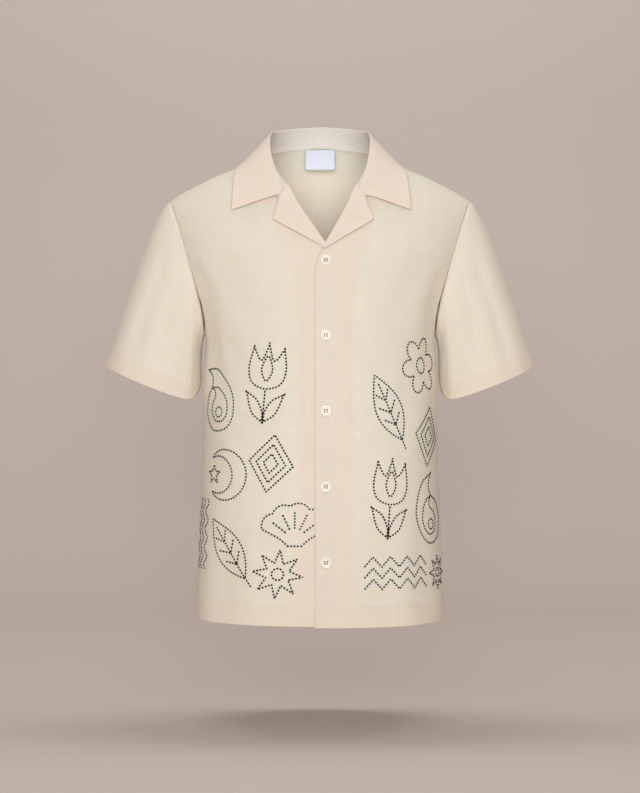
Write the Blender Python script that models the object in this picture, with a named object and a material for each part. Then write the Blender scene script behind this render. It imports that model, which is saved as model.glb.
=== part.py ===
"""A child's short-sleeved camp-collar shirt, hollow and filled out as if it were worn.

Front is -Y, the wearer's left is +X, up is +Z. The origin is the middle of the neck hole, level with
the collar seam at the back of the neck. Sizes are in millimetres and MM turns them into metres.
"""

import math

import bmesh
import bpy
import numpy as np

MM = 0.001

# Walls and gaps
CLOTH = 1.2
SEAM_GAP = 0.5
LAYER_GAP = 0.6
FACET_ALLOWANCE = 0.5

# Centre front: the wearer's left front laps over the right one
EXTENSION = 10.7
OVERLAP_SINK = CLOTH + LAYER_GAP
SINK_FULL, SINK_NONE = 14.0, 46.0
LEAN = 5.8
LEAN_START, LEAN_END = -5.0, -130.0

# Buttons and label
BUTTON_DIAMETER = 11.2
BUTTON_THICKNESS = 2.4
BUTTON_COUNT = 5
TOP_BUTTON_HEIGHT = -128.0
BUTTON_SPACING = 74.5
LABEL_WIDTH, LABEL_DROP, LABEL_WALL = 31.0, 20.5, 1.0
LABEL_TOP, LABEL_LEAN = -2.4, 4.0

# Mesh fineness: quads across and along each piece
FRONT_ACROSS, BACK_HALF_ACROSS = 13, 10
ROWS_BELOW_ARM, ROWS_ABOVE_ARM = 10, 17
SLEEVE_AROUND, SLEEVE_ALONG = 26, 10
COLLAR_HALF_ALONG, COLLAR_STAND, COLLAR_FALL = 16, 3, 7
LAPEL_ALONG, LAPEL_FOLD, LAPEL_LEAF = 13, 3, 4
BUTTON_SIDES, HOLE_SIDES = 18, 6

# Body form. Columns: height, half width, front depth, back depth
BODY = np.array([
    (-492.0, 127.6, 94.5, 91.0),
    (-430.0, 125.4, 96.5, 92.5),
    (-350.0, 122.2, 96.0, 91.5),
    (-280.0, 120.0, 94.0, 91.0),
    (-235.0, 119.0, 92.0, 92.5),
    (-200.0, 118.5, 90.5, 94.0),
    (-176.0, 123.6, 90.0, 94.5),
    (-158.0, 130.0, 90.0, 94.5),
    (-135.0, 139.5, 90.0, 94.5),
    (-110.0, 150.0, 90.5, 94.0),
    (-82.0, 162.0, 91.0, 94.0),
    (-62.0, 172.0, 92.0, 94.0),
    (25.0, 200.0, 92.0, 94.0),
])
SQUARENESS = 2.35

# Shoulder ridge, where front and back meet on top. Columns: distance from the middle, height
RIDGE = np.array([
    (-12.0, 12.8), (0.0, 14.0), (12.0, 12.8), (24.0, 9.2), (36.0, 3.2), (48.0, -5.6), (60.0, -14.5),
    (74.0, -22.6), (86.0, -28.0), (100.0, -33.4), (117.0, -40.8), (133.0, -48.8), (147.0, -56.8),
    (155.0, -62.0), (200.0, -92.0),
])
RIDGE_DEPTH = 7.0
RIDGE_DEPTH_FROM, RIDGE_DEPTH_TO = -260.0, -60.0

# How the depth closes towards the ridge. Columns: height it starts from, sharpness, roundness
CLOSING = {"front": (-200.0, 2.3, 2.0), "back": (-150.0, 3.2, 2.2)}

# Edges drawn on the body form, seen from the front. Columns: distance from the middle, height
SIDE_SEAM_HEIGHTS = (-489.6, -200.0)
UNDER_FRONT_LIFT = 1.2
ARMHOLE_FRONT = [(118.5, -200.0), (119.0, -190.0), (121.0, -176.0), (125.0, -158.0), (131.0, -135.0),
                 (138.5, -110.0), (147.0, -83.0), (152.5, -68.0), (155.0, -62.0)]
ARMHOLE_BACK = [(118.5, -200.0), (119.0, -190.0), (121.2, -176.0), (125.5, -158.0), (132.0, -135.0),
                (139.5, -110.0), (147.5, -83.0), (152.7, -68.0), (155.0, -62.0)]
NECK_BACK = [(0.0, 0.0), (14.0, -0.5), (27.0, -2.0), (39.0, -4.6), (49.0, -8.3), (56.0, -12.0), (60.0, -14.5)]
NECK_FRONT = [(36.5, -51.0), (43.5, -43.5), (50.0, -35.5), (55.0, -26.5), (58.6, -19.5), (60.0, -14.5)]
CENTRE_EDGE = [(-EXTENSION, -491.0), (-EXTENSION, -172.0)]
LAPEL_OPENING = [(-EXTENSION, -172.0), (-EXTENSION, -150.0), (-EXTENSION, -136.0), (-6.0, -121.0),
                 (1.6, -111.0), (10.5, -97.5), (19.6, -83.0), (29.0, -67.0), (36.5, -51.0)]

# Lapel, from the crossing of the fronts up to the collar. Columns: share of the way,
# roll line distance and height, free edge distance and height, lift of the free edge off the chest
LAPEL = np.array([
    (0.00, 0.9, -112.5, 6.5, -113.0, 3.0),
    (0.25, 9.3, -98.8, 19.0, -105.5, 3.6),
    (0.50, 18.0, -84.8, 35.0, -96.5, 3.8),
    (0.74, 26.4, -70.6, 49.6, -88.0, 3.8),
    (1.00, 34.6, -52.6, 42.4, -64.6, 4.2),
])
LAPEL_FOLD_REACH = 6.0
LAPEL_START = {"left": 0.05, "right": 0.15}

# Collar from the middle of the back round to its front end. Columns: roll line x, y, z,
# free edge x, y, z, reach of the fold
COLLAR = np.array([
    (0.0, 60.5, 22.5, 0.0, 85.5, -19.5, 17.0),
    (24.0, 51.5, 20.0, 34.0, 77.5, -21.0, 17.0),
    (42.5, 34.5, 15.5, 63.0, 56.5, -21.5, 12.0),
    (50.4, 7.0, 8.8, 81.5, 9.0, -24.6, 6.0),
    (50.6, -21.0, -10.0, 87.3, -27.5, -35.0, 6.0),
    (45.2, -44.0, -32.5, 89.2, -46.0, -56.5, 7.0),
    (35.6, -60.6, -50.0, 90.8, -56.0, -76.0, 6.0),
])
NOTCH = (43.4, -65.6, -62.0)
NOTCH_SHARE = 0.24

# Sleeve hem ring and the way the sleeve leaves the armhole
SLEEVE_HEM_CENTRE = np.array((171.5, 3.0, -250.0))
SLEEVE_HEM_SLOPE = math.radians(20.9)
SLEEVE_HEM_HALF_WIDTH, SLEEVE_HEM_HALF_DEPTH = 52.3, 46.0
SLEEVE_UNDER_LIFT, SLEEVE_UNDER_SHARPNESS = 21.0, 11
SLEEVE_FRONT_DIP = 4.0
SLEEVE_TOP_WAY, SLEEVE_UNDER_WAY = np.array((0.80, 0.0, -0.60)), np.array((0.42, 0.0, -0.91))
SLEEVE_TOP_END, SLEEVE_UNDER_END = np.array((0.31, 0.0, -0.95)), np.array((0.03, 0.0, -1.0))
SLEEVE_SIDE_SPREAD = 0.12

# Soft folds, as troughs between two places seen from the front, negative when pressed in.
# Columns: distance and height of one end, distance and height of the other, half width, depth
FRONT_FOLDS = {
    "left": [(121.0, -150.0, 99.0, -262.0, 8.0, -2.2), (104.0, -120.0, 62.0, -205.0, 12.0, -1.5),
             (108.0, -235.0, 88.0, -330.0, 10.0, 1.3), (58.0, -395.0, 62.0, -500.0, 13.0, -1.6),
             (99.0, -370.0, 103.0, -500.0, 12.0, -1.8), (32.0, -150.0, 27.0, -330.0, 7.0, -0.9)],
    "right": [(121.0, -148.0, 101.0, -270.0, 8.0, -2.3), (106.0, -116.0, 66.0, -196.0, 12.0, -1.6),
              (110.0, -240.0, 84.0, -345.0, 10.0, 1.2), (50.0, -405.0, 46.0, -500.0, 14.0, -1.5),
              (92.0, -380.0, 98.0, -500.0, 12.0, -1.9), (36.0, -160.0, 31.0, -300.0, 7.0, -0.9)],
}
BACK_FOLDS = [(30.0, -90.0, 36.0, -250.0, 12.0, -1.6), (-30.0, -100.0, -26.0, -280.0, 13.0, -1.5),
              (118.0, -150.0, 84.0, -300.0, 10.0, -2.2), (-118.0, -150.0, -88.0, -285.0, 10.0, -2.1),
              (70.0, -360.0, 74.0, -500.0, 14.0, -2.0), (-58.0, -370.0, -66.0, -500.0, 14.0, -2.0),
              (6.0, -330.0, 2.0, -500.0, 13.0, -1.5), (104.0, -380.0, 108.0, -500.0, 10.0, 1.4),
              (-100.0, -390.0, -104.0, -500.0, 10.0, 1.4)]
# Columns: share of the way round from the top by the front, width as such a share, depth,
# share of the sleeve's length where it starts and where it ends
SLEEVE_FOLDS = [(0.17, 0.030, -2.2, 0.18, 1.05), (0.30, 0.032, -2.4, 0.05, 0.85), (0.385, 0.026, 1.6, 0.15, 1.10),
                (0.66, 0.034, -2.2, 0.05, 0.95), (0.80, 0.036, -2.2, 0.20, 1.10), (0.95, 0.030, 1.0, 0.40, 1.10)]

MIRROR = np.array((-1.0, 1.0, 1.0))

# Finishes: colour, roughness and metallic value
FINISHES = {
    "cream_cotton": ((0.80, 0.70, 0.57), 0.85, 0.0),
    "button_resin": ((0.82, 0.70, 0.58), 0.35, 0.0),
    "label_tape": ((0.84, 0.84, 0.88), 0.70, 0.0),
}


def clear_scene():
    for obj in list(bpy.data.objects):
        bpy.data.objects.remove(obj)


def material(name, finish):
    """A material of its own for each piece, with the finish's colour, roughness and metallic value."""
    colour, roughness, metallic = FINISHES[finish]
    made = bpy.data.materials.new(f"{name}_{finish}")
    made.use_nodes = True
    shader = made.node_tree.nodes["Principled BSDF"]
    shader.inputs["Base Color"].default_value = (*colour, 1.0)
    shader.inputs["Roughness"].default_value = roughness
    shader.inputs["Metallic"].default_value = metallic
    made.diffuse_color = (*colour, 1.0)
    return made


def eased(value):
    """0 below 0, 1 above 1 and a smooth S between."""
    value = np.clip(value, 0.0, 1.0)
    return value * value * (3.0 - 2.0 * value)


def unit(vectors):
    return vectors / np.linalg.norm(vectors, axis=-1, keepdims=True)


def curve_through(rows, at):
    """Catmull-Rom curve through a table's rows: whole numbers of `at` fall on the rows."""
    rows = np.asarray(rows, float)
    padded = np.vstack([2 * rows[0] - rows[1], rows, 2 * rows[-1] - rows[-2]])
    at = np.clip(np.asarray(at, float), 0.0, len(rows) - 1.0)
    cell = np.minimum(at.astype(int), len(rows) - 2)
    f = (at - cell)[..., None]
    a, b, c, d = padded[cell], padded[cell + 1], padded[cell + 2], padded[cell + 3]
    return 0.5 * (2 * b + (c - a) * f + (2 * a - 5 * b + 4 * c - d) * f**2 + (3 * b - a - 3 * c + d) * f**3)


def evenly(points, count):
    """`count` + 1 points spaced evenly along a fine polyline."""
    run = np.concatenate([[0.0], np.cumsum(np.linalg.norm(np.diff(points, axis=0), axis=1))])
    stops = np.linspace(0.0, run[-1], count + 1)
    return np.stack([np.interp(stops, run, points[:, k]) for k in range(points.shape[1])], axis=1)


def read_column(table, column, place):
    """A table's column at `place` along its first column, by smooth cubic steps between the rows."""
    places, values = table[:, 0], table[:, column]
    place = np.clip(place, places[0], places[-1])
    slopes = np.gradient(values, places)
    i = np.clip(np.searchsorted(places, place) - 1, 0, len(places) - 2)
    step = places[i + 1] - places[i]
    f = (place - places[i]) / step
    return (values[i] * (1 + 2 * f) * (1 - f) ** 2 + slopes[i] * step * f * (1 - f) ** 2
            + values[i + 1] * f**2 * (3 - 2 * f) + slopes[i + 1] * step * f**2 * (f - 1))


def half_width(z):
    return read_column(BODY, 1, z)


def ridge_height(x):
    return read_column(RIDGE, 1, np.abs(x))


def body_point(turn, z, side):
    """Point of the body form at a turn from the centre line (0) to the side (90 degrees).

    Level sections are superellipses. Above the chest their depth closes over to the shoulder ridge.
    """
    start, sharpness, roundness = CLOSING[side]
    x = half_width(z) * np.sin(np.abs(turn)) ** (2 / SQUARENESS) * np.sign(turn)
    share = np.clip((z - start) / (ridge_height(x) - start), 0.0, 1.0)
    depth = read_column(BODY, 2 if side == "front" else 3, z) * (1 - share**sharpness) ** (1 / roundness)
    reach = depth * np.cos(np.abs(turn)) ** (2 / SQUARENESS)
    middle = RIDGE_DEPTH * eased((z - RIDGE_DEPTH_FROM) / (RIDGE_DEPTH_TO - RIDGE_DEPTH_FROM))
    y = middle - reach if side == "front" else middle + reach
    return np.stack(np.broadcast_arrays(x, y, z), axis=-1)


def turn_at(x, z):
    """The turn at which the body form is x from the middle at height z."""
    return np.sign(x) * np.arcsin(np.clip(np.abs(x) / half_width(z), 0.0, 1.0) ** (SQUARENESS / 2))


def on_body(x, z, side, lift=0.0):
    """Point of the body form seen at (x, z), moved out along its normal by `lift`."""
    x, z = np.broadcast_arrays(np.asarray(x, float), np.asarray(z, float))
    point = body_point(turn_at(x, z), z, side)
    step = 0.5
    across = body_point(turn_at(x + step, z), z, side) - body_point(turn_at(x - step, z), z, side)
    up = body_point(turn_at(x, z + step), z + step, side) - body_point(turn_at(x, z - step), z - step, side)
    outward = unit(np.cross(across, up)) if side == "front" else unit(np.cross(up, across))
    return point + outward * np.asarray(lift, float)[..., None]


def leaned(points):
    """The front hangs a little to the wearer's left: a sideways shift that fades to the sides and the neck."""
    x, y, z = points[..., 0], points[..., 1], points[..., 2]
    amount = LEAN * eased((LEAN_START - z) / (LEAN_START - LEAN_END))
    amount = amount * np.clip(1 - (np.abs(x) / 118.0) ** 2, 0, 1) * eased(-y / 50.0)
    moved = points.copy()
    moved[..., 0] += amount
    return moved


def trough(x, z, fold):
    """Depth of one soft fold at (x, z): a bell across the line and a fade at both ends."""
    x0, z0, x1, z1, width, depth = fold
    run = np.array((x1 - x0, z1 - z0))
    share = ((x - x0) * run[0] + (z - z0) * run[1]) / (run @ run)
    away = np.hypot(x - x0 - share * run[0], z - z0 - share * run[1])
    return depth * np.exp(-((away / width) ** 2)) * eased((share + 0.15) / 0.4) * eased((1.1 - share) / 0.4)


def grid_normals(grid, wrap=False):
    """Unit normals of a grid whose rows go up and whose columns go across, turned to cross(across, up)."""
    if wrap:
        across = np.roll(grid, -1, axis=1) - np.roll(grid, 1, axis=1)
    else:
        across = np.gradient(grid, axis=1)
    up = np.gradient(grid, axis=0)
    return unit(np.cross(across, up))


def new_object(name, points, faces, finish):
    mesh = bpy.data.meshes.new(name)
    mesh.from_pydata([tuple(p) for p in np.asarray(points) * MM], [], faces)
    mesh.materials.append(material(name, finish))
    obj = bpy.data.objects.new(name, mesh)
    bpy.context.scene.collection.objects.link(obj)
    mesh.shade_smooth()
    return obj


def grid_faces(rows, columns, wrap=False):
    return [(i * columns + j, i * columns + (j + 1) % columns,
             (i + 1) * columns + (j + 1) % columns, (i + 1) * columns + j)
            for i in range(rows - 1) for j in range(columns if wrap else columns - 1)]


def shell(name, points, faces, outward, thickness=CLOTH, finish="cream_cotton"):
    """A closed cloth wall: the outer side as given, the inner side `thickness` behind it, and a rim between."""
    points, outward = points.reshape(-1, 3), unit(outward.reshape(-1, 3))
    corners = points[np.array(faces)]
    facing = np.cross(corners[:, 2] - corners[:, 0], corners[:, 3] - corners[:, 1])
    if np.sum(facing * outward[np.array(faces)[:, 0]]) < 0:
        faces = [face[::-1] for face in faces]
    count = len(points)
    directed = {(face[k], face[(k + 1) % 4]) for face in faces for k in range(4)}
    rim = [(a + count, b + count, b, a) for a, b in sorted(directed) if (b, a) not in directed]
    inner = [tuple(k + count for k in face[::-1]) for face in faces]
    return new_object(name, np.vstack([points, points - outward * thickness]), faces + inner + rim, finish)


def wall(name, grid, outward, wrap=False, **more):
    return shell(name, grid, grid_faces(*grid.shape[:2], wrap), outward, **more)


def squared_to_seams(outward, rows_below):
    """Wall directions of a panel, turned into the seam's plane along the side and the shoulder."""
    squared = outward.copy()
    squared[-1, :, 1] = 0.0
    squared[:rows_below + 1, -1, 1] = 0.0
    return unit(squared)


def above_body(points):
    """How far points stand off the body form, roughly, and the way straight out from it."""
    def level(p):
        x, y, z = p[..., 0], p[..., 1], p[..., 2]
        middle = RIDGE_DEPTH * eased((z - RIDGE_DEPTH_FROM) / (RIDGE_DEPTH_TO - RIDGE_DEPTH_FROM))
        values = []
        for side, column in (("front", 2), ("back", 3)):
            start, sharpness, roundness = CLOSING[side]
            narrowing = np.clip(1 - (np.abs(x) / half_width(z)) ** SQUARENESS, 1e-3, 1) ** (1 / SQUARENESS)
            share = np.clip((z - start) / (ridge_height(x) - start), 0.0, None)
            reach = np.abs(y - middle) / (read_column(BODY, column, z) * narrowing)
            values.append(reach**roundness + share**sharpness - 1)
        return np.where(y < middle, *values)
    step = 0.2
    slope = np.stack([level(points + step * axis) - level(points - step * axis) for axis in np.eye(3)], axis=-1)
    slope = slope / (2 * step)
    steepness = np.linalg.norm(slope, axis=-1)
    return level(points) / steepness, slope / steepness[..., None]


def kept_off_body(points, clearance):
    """Points closer to the body form than `clearance` are moved straight out until they stand that far off."""
    for _ in range(4):
        height, out = above_body(points)
        points = points + out * np.maximum(clearance - height, 0.0)[..., None]
    return points


def edge_points(rows, side, count):
    """Evenly spaced points of an edge that a table draws on the body form."""
    fine = curve_through(rows, np.linspace(0, len(rows) - 1, 40 * len(rows)))
    points = on_body(fine[:, 0], fine[:, 1], side)
    return evenly(points, count)


def side_seam(side, count):
    z = np.linspace(*SIDE_SEAM_HEIGHTS, count + 1)
    return body_point(np.full_like(z, math.pi / 2), z, side)


def ridge_share(x, z, side):
    """Height as a share of the way from where the form starts to close up to the shoulder ridge."""
    start = CLOSING[side][0]
    return (z - start) / (ridge_height(x) - start)


def panel_grid(inner, outer, side, columns):
    """Rows across the body form from each point of the inner edge to the same point of the outer one.

    The turn runs evenly from edge to edge. The height does so too at the hem, and follows the slope
    of the shoulder more and more towards the top, where the last row lies on the ridge.
    """
    share = np.linspace(0.0, 1.0, columns + 1)
    start, end = turn_at(inner[:, 0], inner[:, 2]), turn_at(outer[:, 0], outer[:, 2])
    turn = start[:, None] + (end - start)[:, None] * share
    level = inner[:, 2][:, None] + (outer[:, 2] - inner[:, 2])[:, None] * share
    low, high = ridge_share(inner[:, 0], inner[:, 2], side), ridge_share(outer[:, 0], outer[:, 2], side)
    ridge = low[:, None] + (high - low)[:, None] * share
    follow = (np.arange(len(inner)) / (len(inner) - 1))[:, None] ** 3
    z = level
    for _ in range(12):
        x = half_width(z) * np.sin(np.abs(turn)) ** (2 / SQUARENESS)
        z = level + (CLOSING[side][0] + ridge * (ridge_height(x) - CLOSING[side][0]) - level) * follow
    return body_point(turn, z, side)


def front_grid(which):
    inner = np.vstack([
        edge_points(CENTRE_EDGE, "front", ROWS_BELOW_ARM)[:-1],
        edge_points(LAPEL_OPENING + NECK_FRONT[1:], "front", ROWS_ABOVE_ARM),
    ])
    outer = np.vstack([
        side_seam("front", ROWS_BELOW_ARM)[:-1],
        edge_points(ARMHOLE_FRONT, "front", ROWS_ABOVE_ARM),
    ])
    grid = panel_grid(inner, outer, "front", FRONT_ACROSS)
    normals = grid_normals(grid)
    x, z = grid[..., 0], grid[..., 2]
    relief = sum(trough(x, z, fold) for fold in FRONT_FOLDS[which])
    relief = relief * eased((12 - x) / -14.0) * shoulder_fade(x, z)
    if which == "right":
        relief = relief - OVERLAP_SINK * eased((SINK_NONE - x) / (SINK_NONE - SINK_FULL))
        grid[..., 2] += UNDER_FRONT_LIFT * eased((-430.0 - z) / 60.0)
    grid = grid + normals * relief[..., None]
    outward = squared_to_seams(grid_normals(grid), ROWS_BELOW_ARM)
    grid[..., 1] -= SEAM_GAP / 2
    return grid, outward


def shoulder_fade(x, z):
    """Folds die out near the shoulder ridge and the armhole's top."""
    return eased((ridge_height(x) - z - 8.0) / 40.0)


def make_front(which):
    grid, outward = front_grid(which)
    if which == "right":
        grid, outward = grid * MIRROR, outward * MIRROR
    return wall(f"front_{which}", leaned(grid), outward)


def back_half(sign):
    centre = [(0.0, -491.0), (0.0, -172.0)]
    upper = [(0.0, -172.0), (0.0, -140.0), (0.0, -105.0), (0.0, -70.0), (0.0, -35.0), (0.0, 0.0)]
    neck_rows = 6
    inner = np.vstack([
        edge_points(centre, "back", ROWS_BELOW_ARM)[:-1],
        edge_points(upper, "back", ROWS_ABOVE_ARM - neck_rows)[:-1],
        edge_points(NECK_BACK, "back", neck_rows),
    ])
    outer = np.vstack([
        side_seam("back", ROWS_BELOW_ARM)[:-1],
        edge_points(ARMHOLE_BACK, "back", ROWS_ABOVE_ARM),
    ])
    return panel_grid(inner, outer, "back", BACK_HALF_ACROSS) * np.array((sign, 1.0, 1.0))


def make_back():
    """The whole back: two mirrored halves that share their centre line below the neck."""
    points, outward, faces, index = [], [], [], {}
    for sign in (1.0, -1.0):
        half = back_half(sign)
        normals = grid_normals(half) * -sign
        x, z = half[..., 0], half[..., 2]
        relief = sum(trough(x, z, fold) for fold in BACK_FOLDS) * shoulder_fade(x, z)
        half = half + normals * relief[..., None]
        normals = squared_to_seams(grid_normals(half) * -sign, ROWS_BELOW_ARM)
        half[..., 1] += SEAM_GAP / 2
        on_centre = np.abs(x) < 1e-6
        half[..., 0] = np.where(on_centre, 0.0, half[..., 0])
        normals[..., 0] = np.where(on_centre, 0.0, normals[..., 0])
        rows, columns = half.shape[:2]
        keys = {(i, j): (i, j, 0.0 if on_centre[i, j] else sign) for i in range(rows) for j in range(columns)}
        for (i, j), key in keys.items():
            if key not in index:
                index[key] = len(points)
                points.append(half[i, j])
                outward.append(normals[i, j])
        for i in range(rows - 1):
            for j in range(columns - 1):
                face = tuple(index[keys[c]] for c in ((i, j), (i, j + 1), (i + 1, j + 1), (i + 1, j)))
                faces.append(face[::-1] if sign > 0 else face)
    return shell("back", np.array(points), faces, np.array(outward))


def armhole_ring(count):
    """The armhole from its top down the front to the underarm and up the back, evenly spaced, open-ended."""
    front = edge_points(ARMHOLE_FRONT, "front", 400)[::-1]
    back = edge_points(ARMHOLE_BACK, "back", 400)
    half = count // 2
    front, back = evenly(front, half), evenly(back, half)
    return np.vstack([front[:-1], back[:-1]])


def sleeve_grid():
    """Each strip of the sleeve is a cubic Bezier from the armhole to the hem ring."""
    start = armhole_ring(SLEEVE_AROUND)
    around = np.arange(SLEEVE_AROUND) / SLEEVE_AROUND
    angle = 2 * math.pi * around
    slope = np.array((math.cos(SLEEVE_HEM_SLOPE), 0.0, math.sin(SLEEVE_HEM_SLOPE)))
    under = np.clip(-np.cos(angle), 0, 1) ** SLEEVE_UNDER_SHARPNESS
    end = (SLEEVE_HEM_CENTRE + SLEEVE_HEM_HALF_WIDTH * np.cos(angle)[:, None] * slope
           + SLEEVE_HEM_HALF_DEPTH * np.sin(angle)[:, None] * np.array((0.0, -1.0, 0.0)))
    end[:, 2] += SLEEVE_UNDER_LIFT * under - SLEEVE_FRONT_DIP * np.clip(np.sin(angle), 0, 1)
    top = (1 + np.cos(angle))[:, None] / 2
    leave = top * SLEEVE_TOP_WAY + (1 - top) * SLEEVE_UNDER_WAY
    leave[:, 1] -= SLEEVE_SIDE_SPREAD * np.sin(angle)
    leave = unit(leave)
    arrive = unit(top * SLEEVE_TOP_END + (1 - top) * SLEEVE_UNDER_END)
    start = start + leave * SEAM_GAP * 1.4
    length = np.linalg.norm(end - start, axis=1, keepdims=True)
    first = start + leave * length * (0.115 * top + 0.22 * (1 - top))
    second = end - arrive * length * 0.46
    v = np.linspace(0.0, 1.0, SLEEVE_ALONG + 1)[:, None, None]
    grid = (1 - v) ** 3 * start + 3 * v * (1 - v) ** 2 * first + 3 * v**2 * (1 - v) * second + v**3 * end
    return grid


def sleeve_relief(around, along):
    relief = np.zeros(np.broadcast_shapes(around.shape, along.shape))
    for place, width, depth, begin, finish in SLEEVE_FOLDS:
        away = (around - place + 0.5) % 1.0 - 0.5
        fade = eased((along - begin) / 0.25) * eased((finish - along) / 0.25)
        relief = relief + depth * np.exp(-((away / width) ** 2)) * fade
    return relief


def make_sleeve(which):
    grid = sleeve_grid()
    around = (np.arange(SLEEVE_AROUND) / SLEEVE_AROUND)[None, :]
    along = np.linspace(0.0, 1.0, SLEEVE_ALONG + 1)[:, None]
    grid = grid + grid_normals(grid, wrap=True) * sleeve_relief(around, along)[..., None]
    outward = grid_normals(grid, wrap=True)
    if which == "right":
        grid, outward = grid * MIRROR, outward * MIRROR
    return wall(f"sleeve_{which}", grid, outward, wrap=True)


def neck_seam(at):
    """Point of the collar seam at station `at`: 0 at the middle of the back, 3 at the shoulder, 6 in front."""
    back = edge_points(NECK_BACK, "back", 60)
    front = edge_points(NECK_FRONT, "front", 60)[::-1]
    place = np.asarray(at, float) / 3.0 * 60
    rows = np.vstack([back[:-1], front])
    whole = np.arange(len(rows))
    return np.stack([np.interp(place, whole, rows[:, k]) for k in range(3)], axis=-1)


def folded_strip(seam, roll, edge, over, reach, stand_steps, fall_steps):
    """Sections that rise from a seam, fold over a roll line and fall to a free edge.

    Two cubic Hermite arcs meet at the roll line, where both point along `over` with the fold's reach.
    """
    def arc(a, b, leave, arrive, f):
        return (a * (1 + 2 * f) * (1 - f) ** 2 + leave * f * (1 - f) ** 2
                + b * f**2 * (3 - 2 * f) + arrive * f**2 * (f - 1))
    push = over * reach
    stand = [arc(seam, roll, roll - seam, push, f) for f in np.linspace(0, 1, stand_steps + 1)]
    fall = [arc(roll, edge, push, edge - roll, f**1.35) for f in np.linspace(0, 1, fall_steps + 1)[1:]]
    return np.array(stand + fall)


def collar_half():
    at = np.linspace(0.0, 6.0, COLLAR_HALF_ALONG + 1)
    across_the_back = COLLAR[1] * np.array((-1.0, 1.0, 1.0, -1.0, 1.0, 1.0, 1.0))
    rows = curve_through(np.vstack([across_the_back, COLLAR]), at + 1)
    roll, edge, reach = rows[:, :3], rows[:, 3:6], rows[:, 6:7]
    seam = neck_seam(at)
    rise = unit(roll - seam)
    seam = seam + rise * SEAM_GAP * 1.3
    along = np.gradient(roll, axis=0)
    along[0] = (1.0, 0.0, 0.0)
    over = unit(np.cross(rise, along))
    grid = folded_strip(seam, roll, edge, over, reach, COLLAR_STAND, COLLAR_FALL)
    fall_share = np.linspace(0, 1, COLLAR_FALL + 1)[1:]
    notch_row = COLLAR_STAND + 1 + int(np.argmin(np.abs(fall_share - NOTCH_SHARE)))
    peak = fall_share[notch_row - COLLAR_STAND - 1]
    tent = np.where(fall_share < peak, fall_share / peak, (1 - fall_share) / (1 - peak))
    towards_end = np.clip((at - 4.6) / 1.4, 0, 1) ** 2
    shift = np.array(NOTCH) - grid[notch_row, -1]
    grid[COLLAR_STAND + 1:] += tent[:, None, None] * towards_end[None, :, None] * shift
    height, up = above_body(grid)
    facing_up = np.clip(np.sum(grid_normals(grid) * up, axis=-1), 0.0, 1.0)
    slack = np.full(grid.shape[:2], LAYER_GAP + FACET_ALLOWANCE)
    slack[:COLLAR_STAND + 1] = SEAM_GAP * 1.3
    return kept_off_body(grid, slack + CLOTH * facing_up)


def make_collar():
    half = collar_half()
    grid = np.concatenate([(half * MIRROR)[:, :0:-1], half], axis=1)
    return wall("collar", leaned(grid), grid_normals(grid))


def lapel_grid(which):
    share = np.linspace(LAPEL_START[which], 1.0, LAPEL_ALONG + 1)
    corner = LAPEL[3, 0]
    share[np.argmin(np.abs(share - corner))] = corner
    columns = [np.interp(share, LAPEL[:, 0], LAPEL[:, k]) for k in range(1, 6)]
    roll_x, roll_z, edge_x, edge_z, lift = columns
    sink = OVERLAP_SINK if which == "right" else 0.0

    def sunk(x):
        return -sink * eased((SINK_NONE - x) / (SINK_NONE - SINK_FULL))
    panel = np.stack([
        np.interp(roll_z, [row[1] for row in LAPEL_OPENING[3:]], [row[0] for row in LAPEL_OPENING[3:]]), roll_z,
    ], axis=1)
    seam = on_body(panel[:, 0] - 0.9, panel[:, 1], "front", sunk(panel[:, 0]) - CLOTH * 0.1)
    roll = on_body(roll_x - 0.8, roll_z, "front", sunk(roll_x) + 1.3)
    edge = on_body(edge_x, edge_z, "front", sunk(edge_x) + lift)
    rise = unit(roll - seam)
    along = unit(np.gradient(roll, axis=0))
    over = unit(np.cross(along, rise))
    return folded_strip(seam, roll, edge, over, LAPEL_FOLD_REACH, LAPEL_FOLD, LAPEL_LEAF)


def make_lapel(which):
    grid = lapel_grid(which)
    grid[..., 1] -= SEAM_GAP / 2
    outward = grid_normals(grid)
    if which == "right":
        grid, outward = grid * MIRROR, outward * MIRROR
    return wall(f"lapel_{which}", leaned(grid), outward)


def make_label():
    """A folded woven tab that hangs from the collar seam inside the back of the neck."""
    x = np.linspace(-LABEL_WIDTH / 2, LABEL_WIDTH / 2, 7)[None, :]
    z = np.linspace(LABEL_TOP - LABEL_DROP, LABEL_TOP, 5)[:, None]
    wall_inside = on_body(LABEL_WIDTH / 2, LABEL_TOP, "back", -CLOTH)[1]
    y = wall_inside - CLOTH - 2 * LAYER_GAP + LABEL_LEAN * (LABEL_TOP - z) / LABEL_DROP
    point = np.stack(np.broadcast_arrays(x, y, z), axis=-1)
    outward = np.broadcast_to((0.0, 1.0, 0.0), point.shape)
    return wall("neck_label", point, outward, thickness=LABEL_WALL, finish="label_tape")


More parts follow.
